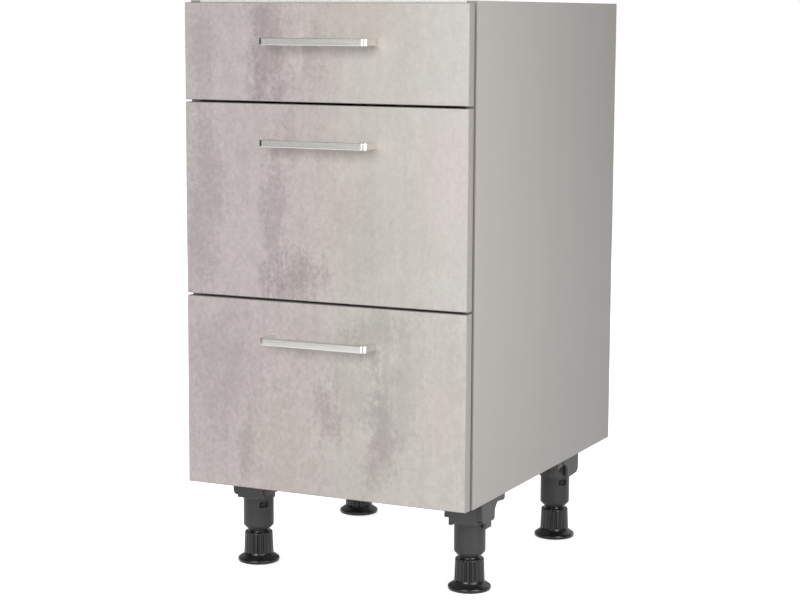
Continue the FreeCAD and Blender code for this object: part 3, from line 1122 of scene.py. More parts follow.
# ------------------------------------------------------------------ the carcass
@dataclass
class Carcass:
    """The fixed boards: two sides, a floor, two flat rails at the top and a thin back."""

    body: str = "carcass"
    ease: float = 0.35 * MM
    groove: float = 7.5 * MM
    groove_play: float = 0.1 * MM
    hole_radius: float = 2.5 * MM
    hole_spacing: float = 300 * MM

    def side(self, side: Side) -> bpy.types.Object:
        """Makes one side, with the groove that holds the back.

        Args:
            side: which side.

        Returns:
            The piece.
        """
        node = f"side_panel_{side.word}"
        low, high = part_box(node)
        back_low, back_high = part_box("back_panel")
        outer, inner = (low.x, high.x) if side is Side.LEFT else (high.x, low.x)
        floor = inner + side.value * self.groove
        near, far = back_low.y - self.groove_play, back_high.y + self.groove_play
        outline = [
            (outer, low.y), (inner, low.y), (inner, near), (floor, near),
            (floor, far), (inner, far), (inner, high.y), (outer, high.y),
        ]
        outwards = RIGHTWARDS * side.value
        panel = Blank.extruded(outline, Axis.Z, low.z, high.z)
        panel.dressed(GREY_BAND).dressed(GREY_FACE, outwards).dressed(WHITE_FACE, -outwards)
        panel.dressed(RAW_EDGE, BACKWARDS, DOWNWARDS)
        return panel.eased(self.ease).piece(node, self.body, "side_board", node)

    def floor(self) -> bpy.types.Object:
        """Makes the floor board, banded in white along its front.

        Returns:
            The piece.
        """
        board = Blank.block(*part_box("bottom_panel")).dressed(WHITE_FACE).dressed(WHITE_BAND, FORWARDS)
        board.dressed(RAW_EDGE, BACKWARDS)
        return board.eased(self.ease).piece("bottom_panel", self.body, "inner_board", "bottom_panel")

    def rail(self, node: str) -> bpy.types.Object:
        """Makes a flat rail with its two worktop screw holes.

        Args:
            node: its node.

        Returns:
            The piece.
        """
        low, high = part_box(node)
        middle = (low.y + high.y) / 2
        outline = [(low.x, low.y), (high.x, low.y), (high.x, high.y), (low.x, high.y)]
        holes = [ring(self.hole_radius, 24, (sign * self.hole_spacing / 2, middle)) for sign in (-1, 1)]
        board = Blank.extruded(outline, Axis.Z, low.z, high.z, holes)
        board.dressed(RAW_EDGE).dressed(WHITE_FACE, UPWARDS, DOWNWARDS)
        board.dressed(WHITE_BAND, FORWARDS, where=lambda at: at.y < low.y + MM)
        return board.eased(self.ease).piece(node, self.body, "inner_board", node)

    def back(self) -> bpy.types.Object:
        """Makes the thin back, white inside and bare hardboard behind, with the nails that hold it.

        Returns:
            The piece.
        """
        low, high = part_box("back_panel")
        sheet = Blank.block(low, high).dressed(BACK_FIBRE).dressed(WHITE_FACE, FORWARDS).eased(0.2 * MM, 1)
        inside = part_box("bottom_panel")
        for edge in (inside[0].z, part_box("rear_top_rail")[0].z):
            for share in (-0.4, -0.13, 0.13, 0.4):
                place = (share * (inside[1].x - inside[0].x), high.y - 0.05 * MM, edge + 8 * MM)
                sheet.joined(SCREWS.screw(place, BACKWARDS, 2.6, 0.9))
        return sheet.piece("back_panel", self.body, "back_board", "back_panel")

    def build(self) -> list[bpy.types.Object]:
        """Makes every board of the carcass.

        Returns:
            The pieces.
        """
        pieces = [self.side(side) for side in Side]
        pieces += [self.floor(), self.rail("front_top_rail"), self.rail("rear_top_rail"), self.back()]
        return pieces


# ------------------------------------------------------------------ runners
@dataclass
class Runner:
    """One three-member telescopic runner: rolled steel channels nested in each other, on rows of balls."""

    tier: Tier
    side: Side
    steel: float = 1.2 * MM
    bend: float = 0.9 * MM
    lip: float = 4.5 * MM
    ball: float = 1.7 * MM
    ball_spacing: float = 9.0 * MM
    balls_in_group: int = 9

    def _node(self, member: str) -> str:
        """The node of one of the two members that belong to this side alone."""
        return f"{member}_rail_{self.tier.value}_{self.side.word}"

    @property
    def wall(self) -> float:
        """The cabinet's inner wall on this side."""
        low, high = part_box(self._node("cabinet"))
        return low.x if self.side is Side.LEFT else high.x

    @property
    def middle(self) -> float:
        """The height of the runner's middle."""
        low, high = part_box(self._node("cabinet"))
        return (low.z + high.z) / 2

    def _channel(self, node: str, web: float, tip: float, half: float, lip: float = 0.0) -> Blank:
        """Rolls one channel.

        Args:
            node: a node that has the channel's length.
            web: the web's outer face, from the cabinet's inner wall.
            tip: the flanges' tips, from the cabinet's inner wall.
            half: half the channel's height.
            lip: how far its flanges turn in at their tips, or 0.

        Returns:
            The channel.
        """
        low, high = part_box(node)
        wall, z, inwards = self.wall, self.middle, -self.side.value
        turn = 1 if tip > web else -1
        sheet = self.steel / 2
        a, b = wall + inwards * (web + turn * sheet), wall + inwards * (tip - turn * sheet)
        h = half - sheet
        path = [(a, z - h, self.bend), (a, z + h, self.bend)]
        if lip:
            path = [(b, z - h, self.bend), *path, (b, z + h, self.bend)]
            path = [(b, z - half + lip, 0.0), *path, (b, z + half - lip, 0.0)]
        else:
            ends = wall + inwards * tip
            path = [(ends, z - h, 0.0), *path, (ends, z + h, 0.0)]
        channel = Blank.extruded(folded(path, self.steel), Axis.Y, low.y, high.y)
        return channel.dressed(RUNNER_ZINC).eased(0.15 * MM, 1, least=SQUARE_ANGLE)

    def cabinet_member(self) -> bpy.types.Object:
        """Makes the member that is screwed to the carcass's side.

        Returns:
            The piece.
        """
        node = self._node("cabinet")
        member = self._channel(node, 0.0, 12 * MM, 21 * MM, self.lip)
        inwards = LEFTWARDS * self.side.value
        for along in (12, 150, 290, 440):
            place = (self.wall + inwards.x * self.steel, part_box(node)[0].y + along * MM, self.middle)
            member.joined(SCREWS.screw(place, inwards, 3.2, 1.5))
        return member.piece(node, "carcass", "runner_steel", node)

    def middle_member(self) -> bpy.types.Object:
        """Makes the floating member, with the four rows of balls that carry it and the drawer's member.

        Returns:
            The piece.
        """
        node = self._node("middle")
        low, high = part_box(node)
        member = self._channel(node, 3.2 * MM, 10.2 * MM, 16 * MM)
        x = self.wall - self.side.value * 7.9 * MM
        run = self.ball_spacing * (self.balls_in_group - 1)
        ball = Blank()
        bmesh.ops.create_icosphere(ball.mesh, subdivisions=2, radius=self.ball)
        ball.dressed(BALL_CHROME)
        reach = Vector((1.5, 4.0, 0.45)) * MM
        for height in (-17.7, -13.1, 13.1, 17.7):
            z = self.middle + height * MM
            for start in (low.y + 9 * MM, high.y - 9 * MM - run):
                cage = Blank.block(Vector((x, start, z)) - reach, Vector((x, start + run, z)) + reach)
                member.joined(cage.dressed(CLIP_PLASTIC))
                for number in range(self.balls_in_group):
                    place = Matrix.Translation((x, start + number * self.ball_spacing, z))
                    member.joined(ball.copied().placed(place))
        return member.piece(node, f"middle_rails_{self.tier.value}", "runner_steel", node)

    def drawer_member(self) -> Blank:
        """Rolls the member that the drawer's steel side carries, to be joined with the other side's."""
        return self._channel(f"drawer_rails_{self.tier.value}", 12.4 * MM, 6.0 * MM, 11 * MM)

    def build(self) -> list[bpy.types.Object]:
        """Makes the runner's two members that belong to this side alone."""
        return [self.cabinet_member(), self.middle_member()]


# ------------------------------------------------------------------ drawers
@dataclass
class BarHandle:
    """A square bar bent to a wide U, whose legs stand on the front."""

    tier: Tier
    bar: float = 10 * MM
    outer_bend: float = 8 * MM
    inner_bend: float = 2 * MM
    ease: float = 0.9 * MM

    def build(self) -> bpy.types.Object:
        """Bends the bar and eases its long edges.

        Returns:
            The piece.
        """
        node = f"handle_{self.tier.value}"
        low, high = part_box(node)
        left, right, inside = low.x + self.bar, high.x - self.bar, low.y + self.bar
        outline = [
            (low.x, high.y, 0.0), (low.x, low.y, self.outer_bend), (high.x, low.y, self.outer_bend),
            (high.x, high.y, 0.0), (right, high.y, 0.0), (right, inside, self.inner_bend),
            (left, inside, self.inner_bend), (left, high.y, 0.0),
        ]
        grip = Blank.extruded(rounded(outline, steps=12), Axis.Z, low.z, high.z).dressed(HANDLE_METAL)
        return grip.eased(self.ease, 4).piece(node, f"drawer_{self.tier.value}", "handle_steel", node)


@dataclass
class Drawer:
    """One drawer: its front and handle, two steel sides, a base and a back, and what holds them together."""

    tier: Tier
    patches: tuple[Patch, ...]
    band: float = 1.0 * MM
    ease: float = 0.8 * MM
    steel: float = 1.0 * MM

    def _node(self, part: str) -> str:
        """The node of one part of this drawer."""
        return f"{part}_{self.tier.value}"

    @property
    def body(self) -> str:
        """The body that the drawer's pieces move with."""
        return self._node("drawer")

    def front(self) -> bpy.types.Object:
        """Makes the front: decor laminate, banded all round, with a plain balancing face behind.

        Returns:
            The piece.
        """
        node = self._node("drawer_front")
        low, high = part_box(node)
        middle = ((low + high) / 2) / MM
        decor = ConcreteLaminate(self._node("concrete_laminate"), (middle.x, middle.z), self.patches)
        board = Blank.block(low, high).dressed(FRONT_BAND)
        board.dressed(decor, FORWARDS).dressed(REAR_FACE, BACKWARDS)
        for direction in (FORWARDS, BACKWARDS):
            board.rimmed(FRONT_BAND, self.band, direction)
        near, far = low.y + MM, high.y - MM
        board.eased(self.ease, 3, lambda at: at.y < near).eased(0.4 * MM, 2, lambda at: at.y > far)
        board.eased(self.ease, 3, lambda at: near < at.y < far)
        grip_low, grip_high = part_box(self._node("handle"))
        for x in (grip_low.x + 5 * MM, grip_high.x - 5 * MM):
            place = (x, high.y, (grip_low.z + grip_high.z) / 2)
            board.joined(SCREWS.screw(place, BACKWARDS, 4.2, 2.4))
        return board.piece(node, self.body, "front_laminate", node)

    def bumpers(self) -> bpy.types.Object:
        """Makes the two soft dots on the front's back that meet the carcass's edge.

        Returns:
            The piece.
        """
        low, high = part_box(self._node("drawer_front"))
        dome = in_mm((0.01, 2.2), (2.4, 1.98), (3.68, 1.1), (4.0, 0.0), (0.01, 0.0))
        pads = Blank()
        for side in Side:
            place = (side.value * (high.x - 7 * MM), high.y, low.z + 9 * MM)
            pads.joined(Blank.turned(dome, 24).dressed(BUMPER_GEL).placed(aimed(place, BACKWARDS)))
        return pads.piece(self._node("bumpers"), self.body, "drawer_steel")

    def steel_side(self, side: Side) -> bpy.types.Object:
        """Folds one double-walled side, with a shallow bead along each wall.

        Args:
            side: which side.

        Returns:
            The piece.
        """
        node = f"{self._node('drawer_side')}_{side.word}"
        low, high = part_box(node)
        outer, inner = (low.x, high.x) if side is Side.LEFT else (high.x, low.x)
        inwards = -side.value
        half, width, crown, bend = self.steel / 2, 13 * MM, 6.0 * MM, 2.0 * MM
        a, b = outer + inwards * half, outer + inwards * (width - half)
        bead, top, foot = inwards * 0.7 * MM, high.z - half, low.z + self.steel + 16.5 * MM
        first, last = foot + 14 * MM, foot + 40 * MM
        path = [
            (b, foot, 0.0), (b, first, bend), (b - bead, first + 2 * MM, bend), (b - bead, last, bend),
            (b, last + 2 * MM, bend), (b, top, crown - half), (a, top, crown - half),
            (a, last + 2 * MM, bend), (a + bead, last, bend), (a + bead, first + 2 * MM, bend),
            (a, first, bend), (a, low.z + half, 0.6 * MM), (inner, low.z + half, 0.0),
        ]
        section = Blank.extruded(folded(path, self.steel), Axis.Y, low.y, high.y)
        section.dressed(DRAWER_COAT).eased(0.12 * MM, 1, least=SQUARE_ANGLE)
        return section.piece(node, self.body, "drawer_steel", node)

    def base(self) -> bpy.types.Object:
        """Makes the base board, with the screws that hold it to both sides' flanges.

        Returns:
            The piece.
        """
        node = self._node("drawer_base")
        low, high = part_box(node)
        board = Blank.block(low, high).dressed(RAW_EDGE).dressed(WHITE_FACE, UPWARDS, DOWNWARDS)
        board.eased(0.3 * MM, 1)
        for side in Side:
            for share in (0.08, 0.36, 0.64, 0.92):
                y = low.y + share * (high.y - low.y)
                place = (side.value * (high.x - 13 * MM), y, low.z - self.steel)
                board.joined(SCREWS.screw(place, DOWNWARDS, 3.2, 1.4))
        return board.piece(node, self.body, "inner_board", node)

    def back(self) -> bpy.types.Object:
        """Makes the back board, banded in white along its top.

        Returns:
            The piece.
        """
        node = self._node("drawer_back")
        board = Blank.block(*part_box(node)).dressed(WHITE_FACE).dressed(WHITE_BAND, UPWARDS)
        return board.eased(0.4 * MM, 2).piece(node, self.body, "inner_board", node)

    def rails(self) -> bpy.types.Object:
        """Makes the two runner members that the drawer carries.

        Returns:
            The piece.
        """
        node = self._node("drawer_rails")
        pair = Blank().joined(*(Runner(self.tier, side).drawer_member() for side in Side))
        return pair.piece(node, self.body, "runner_steel", node)

    def brackets(self) -> bpy.types.Object:
        """Presses the angles that hold the front and the plates that hold the back.

        Returns:
            The piece.
        """
        node = self._node("drawer_brackets")
        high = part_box(node)[1]
        near_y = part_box(self._node("drawer_front"))[1].y
        back_low, back_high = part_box(self._node("drawer_back"))
        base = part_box(self._node("drawer_base"))[0].z
        group = Blank()
        for side in Side:
            inwards = -side.value
            near = side.value * high.x
            wall, y = near + inwards * MM, near_y + 1.25 * MM
            path = [(wall, near_y + 40 * MM, 0.0), (wall, y, MM), (near + inwards * 11 * MM, y, 0.0)]
            angle = Blank.extruded(folded(path, 2.0 * MM), Axis.Z, base + 20 * MM, base + 75.5 * MM)
            group.joined(angle.dressed(RUNNER_ZINC).eased(0.2 * MM, 1, least=SQUARE_ANGLE))
            edge, foot = near + inwards * 36 * MM, base + 2 * MM
            corners = [
                (near, foot, 2 * MM), (edge, foot, 4 * MM), (edge, high.z, 4 * MM), (near, high.z, 2 * MM),
            ]
            plate = Blank.extruded(rounded(corners), Axis.Y, back_high.y, high.y)
            group.joined(plate.dressed(RUNNER_ZINC).eased(0.2 * MM, 1))
            for z in (back_low.z + 12 * MM, back_high.z - 14 * MM):
                place = (edge - inwards * 9 * MM, high.y, z)
                group.joined(SCREWS.screw(place, BACKWARDS, 3.4, 1.6))
        return group.piece(node, self.body, "drawer_steel", node)

    def gallery(self) -> bpy.types.Object:
        """Makes the round rails above the steel sides of a deep drawer, with their end clips.

        Returns:
            The piece.
        """
        node = self._node("gallery_rails")
        low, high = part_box(node)
        radius, z, reach = (high.z - low.z) / 2, (high.z + low.z) / 2, high.y - low.y
        bore = radius / MM + 0.05
        bar = [(POINTED, 0.0), (radius, 0.0), (radius, reach), (POINTED, reach)]
        cup = in_mm((bore, 0.0), (9.0, 0.0), (9.0, 3.0), (7.2, 5.0), (6.6, 16.0), (bore, 16.0))
        pair = Blank()
        for side in Side:
            x = side.value * (high.x - radius)
            rod = Blank.turned(bar, 32).eased(0.5 * MM)
            pair.joined(rod.dressed(DRAWER_COAT).placed(aimed((x, low.y, z), BACKWARDS)))
            for place, direction in (((x, low.y, z), BACKWARDS), ((x, high.y, z), FORWARDS)):
                clip = Blank.turned(cup, 32, closed=True).eased(0.4 * MM)
                pair.joined(clip.dressed(CLIP_PLASTIC).placed(aimed(place, direction)))
        return pair.piece(node, self.body, "drawer_steel", node)

    def build(self) -> list[bpy.types.Object]:
        """Makes the whole drawer.

        Returns:
            The pieces.
        """
        pieces = [self.front(), self.bumpers(), BarHandle(self.tier).build(), self.base(), self.back()]
        pieces += [self.steel_side(side) for side in Side]
        pieces += [self.rails(), self.brackets()]
        if self._node("gallery_rails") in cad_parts:
            pieces.append(self.gallery())
        for side in Side:
            pieces += Runner(self.tier, side).build()
        return pieces


# ------------------------------------------------------------------ legs
@dataclass
class LevellingLeg:
    """One moulded leg: a socket under the carcass, a sleeve plugged into it, and a screw foot in the sleeve.

    Its forms are written in millimetres: from the floor for the foot, and from the carcass's underside and
    the leg's axis for the socket and the sleeve.
    """

    place: str
    heading: float  # where the latch window faces, in degrees from straight forwards towards the right
    lugged: bool = False  # true if the socket has release lugs below its two cheeks
    half: float = 30.0
    wall: float = 4.0
    flutes: int = 20
    pitch: float = 4.0
    spindle: float = 15.8
    grip_low: float = 13.0
    grip_high: float = 44.5
    grip_top: float = 47.0

    @property
    def node(self) -> str:
        """The foot's node."""
        return f"adjusting_foot_{self.place}"

    @property
    def axis(self) -> Vector:
        """The leg's axis where it meets the floor."""
        low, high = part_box(self.node)
        return Vector(((low.x + high.x) / 2, (low.y + high.y) / 2, 0.0))

    def _hung(self, turn: Matrix) -> Matrix:
        """A placing that turns or mirrors a moulding and moves it under the carcass."""
        return Matrix.Translation(self.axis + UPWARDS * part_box("leg_sockets")[1].z) @ turn

    def foot(self) -> bpy.types.Object:
        """Moulds the foot: a flared base, a fluted grip and a threaded spindle.

        Returns:
            The piece.
        """
        flare = in_mm(
            (0.01, 0.0), (29.6, 0.0), (31.0, 0.5), (31.8, 1.9), (31.8, 4.4), (31.3, 5.8), (30.0, 6.9),
            (26.2, 9.4), (23.6, 11.6), (22.7, 13.0), (22.2, 15.0), (0.01, 15.0),
        )
        rings = []
        for z, radius, share in self._grip_levels():
            rings.append(level(self.flutes * 12, z * MM, lambda at: self._fluted(at, radius * MM, share)))
        foot = Blank.turned(flare, 72).joined(Blank.skinned(rings), self._thread())
        foot.dressed(FOOT_PLASTIC).placed(Matrix.Translation(self.axis))
        return foot.piece(self.node, f"foot_{self.place}", "foot_plastic", self.node)

    def _fluted(self, angle: float, radius: float, share: float) -> float:
        """The grip's radius at an angle, with a share of the flutes' full depth."""
        return radius * (1 - 0.075 * share * max(0.0, -math.cos(self.flutes * angle)) ** 0.8)

    def _grip_levels(self) -> list[Corner]:
        """The grip's rings: height, radius, and how much of the flutes' depth is there.

        Returns:
            One row for each ring, from the lowest up.
        """
        low, high = self.grip_low, self.grip_high
        levels = [(low - 1, 22.4, 0.0), (low + 0.5, 22.4, 0.7)]
        for share in (0.05, 0.35, 0.65, 0.95):
            levels.append((low + share * (high - low), 22.4 - 1.2 * share, 1.0))
        for share in (0.0, 0.3, 0.6, 0.85, 1.0):
            turn = share * math.pi / 2
            z = high + (self.grip_top - high) * math.sin(turn)
            levels.append((z, 21.2 - 2.2 * (1 - math.cos(turn)), 1.0 - share))
        return levels

    def _thread(self) -> Blank:
        """Cuts the coarse rounded thread of the spindle.

        Returns:
            The spindle.
        """
        low, high = self.grip_top - 2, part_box(self.node)[1].z / MM
        rise, depth, run_out = 0.5, 0.9, 3.0
        count = int((high - low) / rise)
        rings = []
        for step in range(count + 1):
            z = low + (high - low) * step / count
            core = self.spindle - 1.2 * (1 - min(1.0, (high - z) / run_out))

            def groove(angle: float) -> float:
                """The thread's radius at an angle."""
                wave = 0.5 + 0.5 * math.cos(2 * math.pi * (z / self.pitch) - angle)
                return (core - depth * (1 - wave**0.7)) * MM

            rings.append(level(40, z * MM, groove))
        return Blank.skinned(rings)

    def sleeve(self) -> bpy.types.Object:
        """Moulds the sleeve, with the window in which the socket's latch tongue shows.

        Returns:
            The piece.
        """
        profile = in_mm(
            (16.1, -8.0), (22.6, -8.0), (23.0, -8.6), (23.0, -86.9), (22.75, -87.9), (22.2, -88.6),
            (18.7, -92.6), (18.0, -93.0), (16.6, -93.0), (16.1, -92.4),
        )
        tube = Blank.turned(profile, 96, closed=True)
        window = Blank.block(*in_mm((-6.6, -24.0, -58.0), (6.6, -17.0, -49.5))).eased(0.6 * MM)
        sleeve = tube.cut(window).dressed(SLEEVE_PLASTIC)
        sleeve.eased(0.25 * MM, 2, lambda at: at.y < -18 * MM and -59 * MM < at.z < -49 * MM)
        tongue = Blank.block(*in_mm((-3.6, -20.9, -56.6), (3.6, -16.5, -52.2))).eased(0.5 * MM)
        hook = in_mm((-20.7, -56.2), (-22.3, -54.4), (-20.7, -53.8))
        barb = Blank.extruded(hook, Axis.X, -3.2 * MM, 3.2 * MM).eased(0.15 * MM, 1)
        sleeve.joined(tongue.dressed(SLEEVE_PLASTIC), barb.dressed(SLEEVE_PLASTIC))
        sleeve.placed(self._hung(Matrix.Rotation(math.radians(self.heading), 4, "Z")))
        return sleeve.piece(f"leg_sleeve_{self.place}", "carcass", "sleeve_plastic", "leg_sleeves")

    def _pushed(self, start: float, end: float, *corners: Corner) -> Blank:
        """Pushes an outline with rounded corners across the leg, from one x to another."""
        return Blank.extruded(rounded(in_mm(*corners)), Axis.X, start * MM, end * MM)

    def _cheeks(self) -> Blank:
        """Moulds the side walls: the outer one waisted and swept out to the tab, the inner one slanting.

        Returns:
            The walls.
        """
        low, near, far, reach = -41.0, -25.0, 21.7, 42.0
        cheeks = self._pushed(
            self.half - self.wall, self.half,
            (near, 0, 0), (near, low, 10), (far - 4, low - 2, 1), (far, low, 1.5), (23.5, -27, 3),
            (30.5, -19.6, 9), (reach, -18, 0), (reach, 0, 0),
        )
        inner = self._pushed(
            -self.half, -self.half + self.wall,
            (near, 0, 0), (near, low + 5, 1), (near + 15, low + 5, 3), (reach, -16, 1), (reach, 0, 0),
        )
        return cheeks.joined(inner)

    def _tab(self) -> Blank:
        """Moulds the roof plate, its tongue towards the cabinet's middle, and the hook under that tongue.

        Returns:
            The plate with its hook.
        """
        near, reach, end = -24.6, 41.8, 63.0
        inside, hook, roof = self.half - 0.4, self.half - 1, -self.wall
        tab = Blank.block(*in_mm((-inside, near, roof), (inside, reach, 0.0)))
        tab.joined(Blank.block(*in_mm((hook - 16, reach - 1, roof), (hook, end, 0.0))))
        claw = self._pushed(
            hook - 7, hook - 0.2,
            (reach - 1, -1, 0), (reach - 1, -20, 1), (end - 3, -22, 3), (end, -18, 2), (end, -1, 0),
        )
        return tab.joined(claw)

    def _front_wall(self) -> Blank:
        """Moulds the wall that faces forwards, its raised middle and the ribs inside that stiffen it.

        Returns:
            The wall.
        """
        near, inside, pad = -25.0, self.half - 0.4, self.half - 8
        blocks = [
            ((-inside, near + 0.3, -36.0), (inside, near + self.wall, -0.5)),
            ((-pad, near - 1.5, -43.0), (pad, near + self.wall - 0.5, -0.5)),
        ]
        blocks += [((x - 0.9, near + 2, -40.0), (x + 0.9, near + 5.5, -3.0)) for x in (-14.0, 0.0, 14.0)]
        return Blank().joined(*(Blank.block(*in_mm(low, high)) for low, high in blocks))

    def socket(self) -> bpy.types.Object:
        """Moulds the socket: walls and ribs round a collar, on a plate that is screwed to the floor board.

        Returns:
            The piece.
        """
        socket = self._cheeks().joined(self._tab(), self._front_wall())
        for turn in (15, 50, 90, 130, 165):
            rib = Blank.block(*in_mm((24.5, -0.9, -37.0), (29.0, 0.9, -3.0)))
            socket.joined(rib.placed(Matrix.Rotation(math.radians(turn), 4, "Z")))
        fin = ((20, -3, 0), (20, -34, 0), (27, -20, 0), (40, -7, 0), (40, -3, 0))
        for x in (-18.0, 2.0, 22.0):
            socket.joined(self._pushed(x - 0.9, x + 0.9, *fin))
        if self.lugged:
            for side in Side:
                low, high = sorted((side.value * 24.4, side.value * (self.half - 0.1)))
                socket.joined(Blank.block(*in_mm((low, -9.8, -51.0), (high, 9.8, -4.0))))
        socket.eased(0.6 * MM, 2)
        collar = in_mm((23.1, -45.0), (25.0, -45.0), (25.5, -44.5), (25.5, -3.0), (23.1, -3.0))
        socket.joined(Blank.turned(collar, 96, closed=True)).dressed(SOCKET_PLASTIC)
        socket.joined(SCREWS.screw((-8 * MM, 34 * MM, -self.wall * MM), DOWNWARDS, 4.6, 2.2))
        # Everything above is drawn for the front right leg, and the other legs mirror it.
        axis = self.axis
        mirror = Matrix.Diagonal((math.copysign(1, axis.x), -math.copysign(1, axis.y), 1.0, 1.0))
        socket.placed(self._hung(mirror))
        return socket.piece(f"leg_socket_{self.place}", "carcass", "socket_plastic", "leg_sockets")

    def build(self) -> list[bpy.types.Object]:
        """Makes the leg's three mouldings."""
        return [self.socket(), self.sleeve(), self.foot()]


# ------------------------------------------------------------------ studio
@dataclass
class Lamp:
    """A soft box: where it stands, where it points, its size in metres and its power in watts."""

    name: str
    place: Corner
    target: Corner
    width: float
    height: float
    power: float

    def build(self) -> None:
        """Hangs the lamp and points it."""
        data = bpy.data.lights.new(self.name, "AREA")
        data.shape = "RECTANGLE"
        data.size, data.size_y, data.energy = self.width, self.height, self.power
        hung(self.name, data).matrix_world = aimed(self.place, Vector(self.target) - Vector(self.place), "-Z")


@dataclass
class Card:
    """A curved card or a flat roof round the cabinet, which only shiny surfaces see.

    The cards are to metal and gloss what a photographer's grey and black flags are: they give a polished edge
    something other than white to mirror. They throw no shadow and no light.
    """

    name: str
    start: float  # degrees from straight forwards towards the right
    end: float
    brightness: float
    radius: float = 1.9
    low: float = 0.05
    high: float = 2.6
    steps: int = 24

    def build(self) -> None:
        """Bends the card round the cabinet, or lays it flat where low and high are the same."""
        spread = self.end - self.start
        angles = [math.radians(self.start + spread * step / self.steps) for step in range(self.steps + 1)]
        rim = [(self.radius * math.sin(angle), -self.radius * math.cos(angle)) for angle in angles]
        if self.low == self.high:
            corners = [(x, y, self.high) for x, y in rim]
            faces = [tuple(range(len(corners)))]
        else:
            corners = [(x, y, z) for x, y in rim for z in (self.low, self.high)]
            faces = [(2 * n, 2 * n + 2, 2 * n + 3, 2 * n + 1) for n in range(self.steps)]
        card, tree = staged(self.name, self.name, corners, faces)
        glow = add(tree, "ShaderNodeEmission", {"Strength": self.brightness}).outputs[0]
        add(tree, "ShaderNodeOutputMaterial", {"Surface": glow})
        card.visible_camera = card.visible_diffuse = card.visible_shadow = False
        card.visible_transmission = card.visible_volume_scatter = False


def staged(
    name: str, paper: str, corners: Sequence[Corner], faces: Sequence[tuple[int, ...]]
) -> tuple[bpy.types.Object, Tree]:
    """Puts up a plain part of the stage.

    Args:
        name: its name.
        paper: its material's name.
        corners: its corners.
        faces: its faces, by the corners' numbers.

    Returns:
        The Blender object, and its material's empty node tree.
    """
    data = bpy.data.meshes.new(name)
    data.from_pydata(corners, [], faces)
    material = bpy.data.materials.new(paper)
    data.materials.append(material)
    made = hung(name, data)
    return made, fresh(material)


def shown(tree: Tree) -> Socket:
    """A socket that is 1 for what the camera sees straight, in metal or through glass.

    Args:
        tree: the node tree that it is added to.

    Returns:
        The socket.
    """
    path = add(tree, "ShaderNodeLightPath").outputs
    seen = path["Is Camera Ray"]
    for ray in ("Is Glossy Ray", "Is Transmission Ray"):
        seen = add(tree, "ShaderNodeMath", {0: seen, 1: path[ray]}, operation="MAXIMUM").outputs[0]
    return seen


@dataclass
class Studio:
    """A plain pale floor under soft lamps, in a room that shows white."""

    floor_reach: float = 30.0
    floor_colour: str = "#C6C6C6"
    room_light: float = 0.19
    near_glow: float = 0.76
    far_glow: float = 1.0
    near_reach: float = 0.7  # metres from the middle of the floor, up to where it has its near glow
    far_reach: float = 3.2  # and from where it has its far glow

    def floor(self) -> None:
        """Lays a matt white floor that keeps the cabinet's shadow, and glows where the lamps don't reach."""
        reach = self.floor_reach
        corners = [(-reach, -reach, 0), (reach, -reach, 0), (reach, reach, 0), (-reach, reach, 0)]
        floor, tree = staged("studio_floor", "studio_paper", corners, [(0, 1, 2, 3)])
        lit = add(tree, "ShaderNodeBsdfDiffuse", {"Color": linear(self.floor_colour)}).outputs[0]
        place = add(tree, "ShaderNodeTexCoord").outputs["Object"]
        away = add(tree, "ShaderNodeVectorMath", {0: place}, operation="LENGTH").outputs["Value"]
        sweep = add(
            tree,
            "ShaderNodeMapRange",
            {
                "Value": away, "From Min": self.near_reach, "From Max": self.far_reach,
                "To Min": self.near_glow, "To Max": self.far_glow,
            },
            interpolation_type="SMOOTHSTEP",
        ).outputs[0]
        strength = add(tree, "ShaderNodeMath", {0: shown(tree), 1: sweep}, operation="MULTIPLY").outputs[0]
        glow = add(tree, "ShaderNodeEmission", {"Strength": strength}).outputs[0]
        both = add(tree, "ShaderNodeAddShader", {0: lit, 1: glow}).outputs[0]
        add(tree, "ShaderNodeOutputMaterial", {"Surface": both})

    def room(self) -> None:
        """Sets the room: white where it is seen, and an even soft light on the cabinet."""
        world = bpy.data.worlds.new("studio_room")
        bpy.context.scene.world = world
        tree = fresh(world)
        light = add(
            tree, "ShaderNodeMapRange", {"Value": shown(tree), "To Min": self.room_light, "To Max": 1.0}
        ).outputs[0]
        white = {"Color": (1.0, 1.0, 1.0, 1.0), "Strength": light}
        add(tree, "ShaderNodeOutputWorld", {"Surface": add(tree, "ShaderNodeBackground", white).outputs[0]})

    def build(self) -> None:
        """Sets up the floor, the room, the lamps and the cards."""
        self.floor()
        self.room()
        for item in LAMPS + CARDS:
            item.build()


@dataclass
class StudioCamera:
    """The camera at the photograph's viewing angle: slightly down, and rolled by a third of a degree."""

    place: Corner = (1.31777, -2.78732, 0.82787)
    azimuth: float = 25.4448
    down: float = 7.978
    roll: float = 0.292
    lens: float = 91.18
    sensor: float = 36.0

    def build(self) -> None:
        """Sets up the camera and makes it the scene's own."""
        azimuth, down, roll = (math.radians(angle) for angle in (self.azimuth, self.down, self.roll))
        right = Vector((math.cos(azimuth), math.sin(azimuth), 0.0))
        ahead = Vector((-math.sin(azimuth), math.cos(azimuth), 0.0))
        view = ahead * math.cos(down) - UPWARDS * math.sin(down)
        up = UPWARDS * math.cos(down) + ahead * math.sin(down)
        across = right * math.cos(roll) + up * math.sin(roll)
        above = up * math.cos(roll) - right * math.sin(roll)
        data = bpy.data.cameras.new("studio_camera")
        data.lens = self.lens
        data.sensor_width = self.sensor
        data.sensor_fit = "HORIZONTAL"
        camera = hung("studio_camera", data)
        turn = Matrix((across, above, -view)).transposed().to_4x4()
        camera.matrix_world = Matrix.Translation(self.place) @ turn
        bpy.context.scene.camera = camera


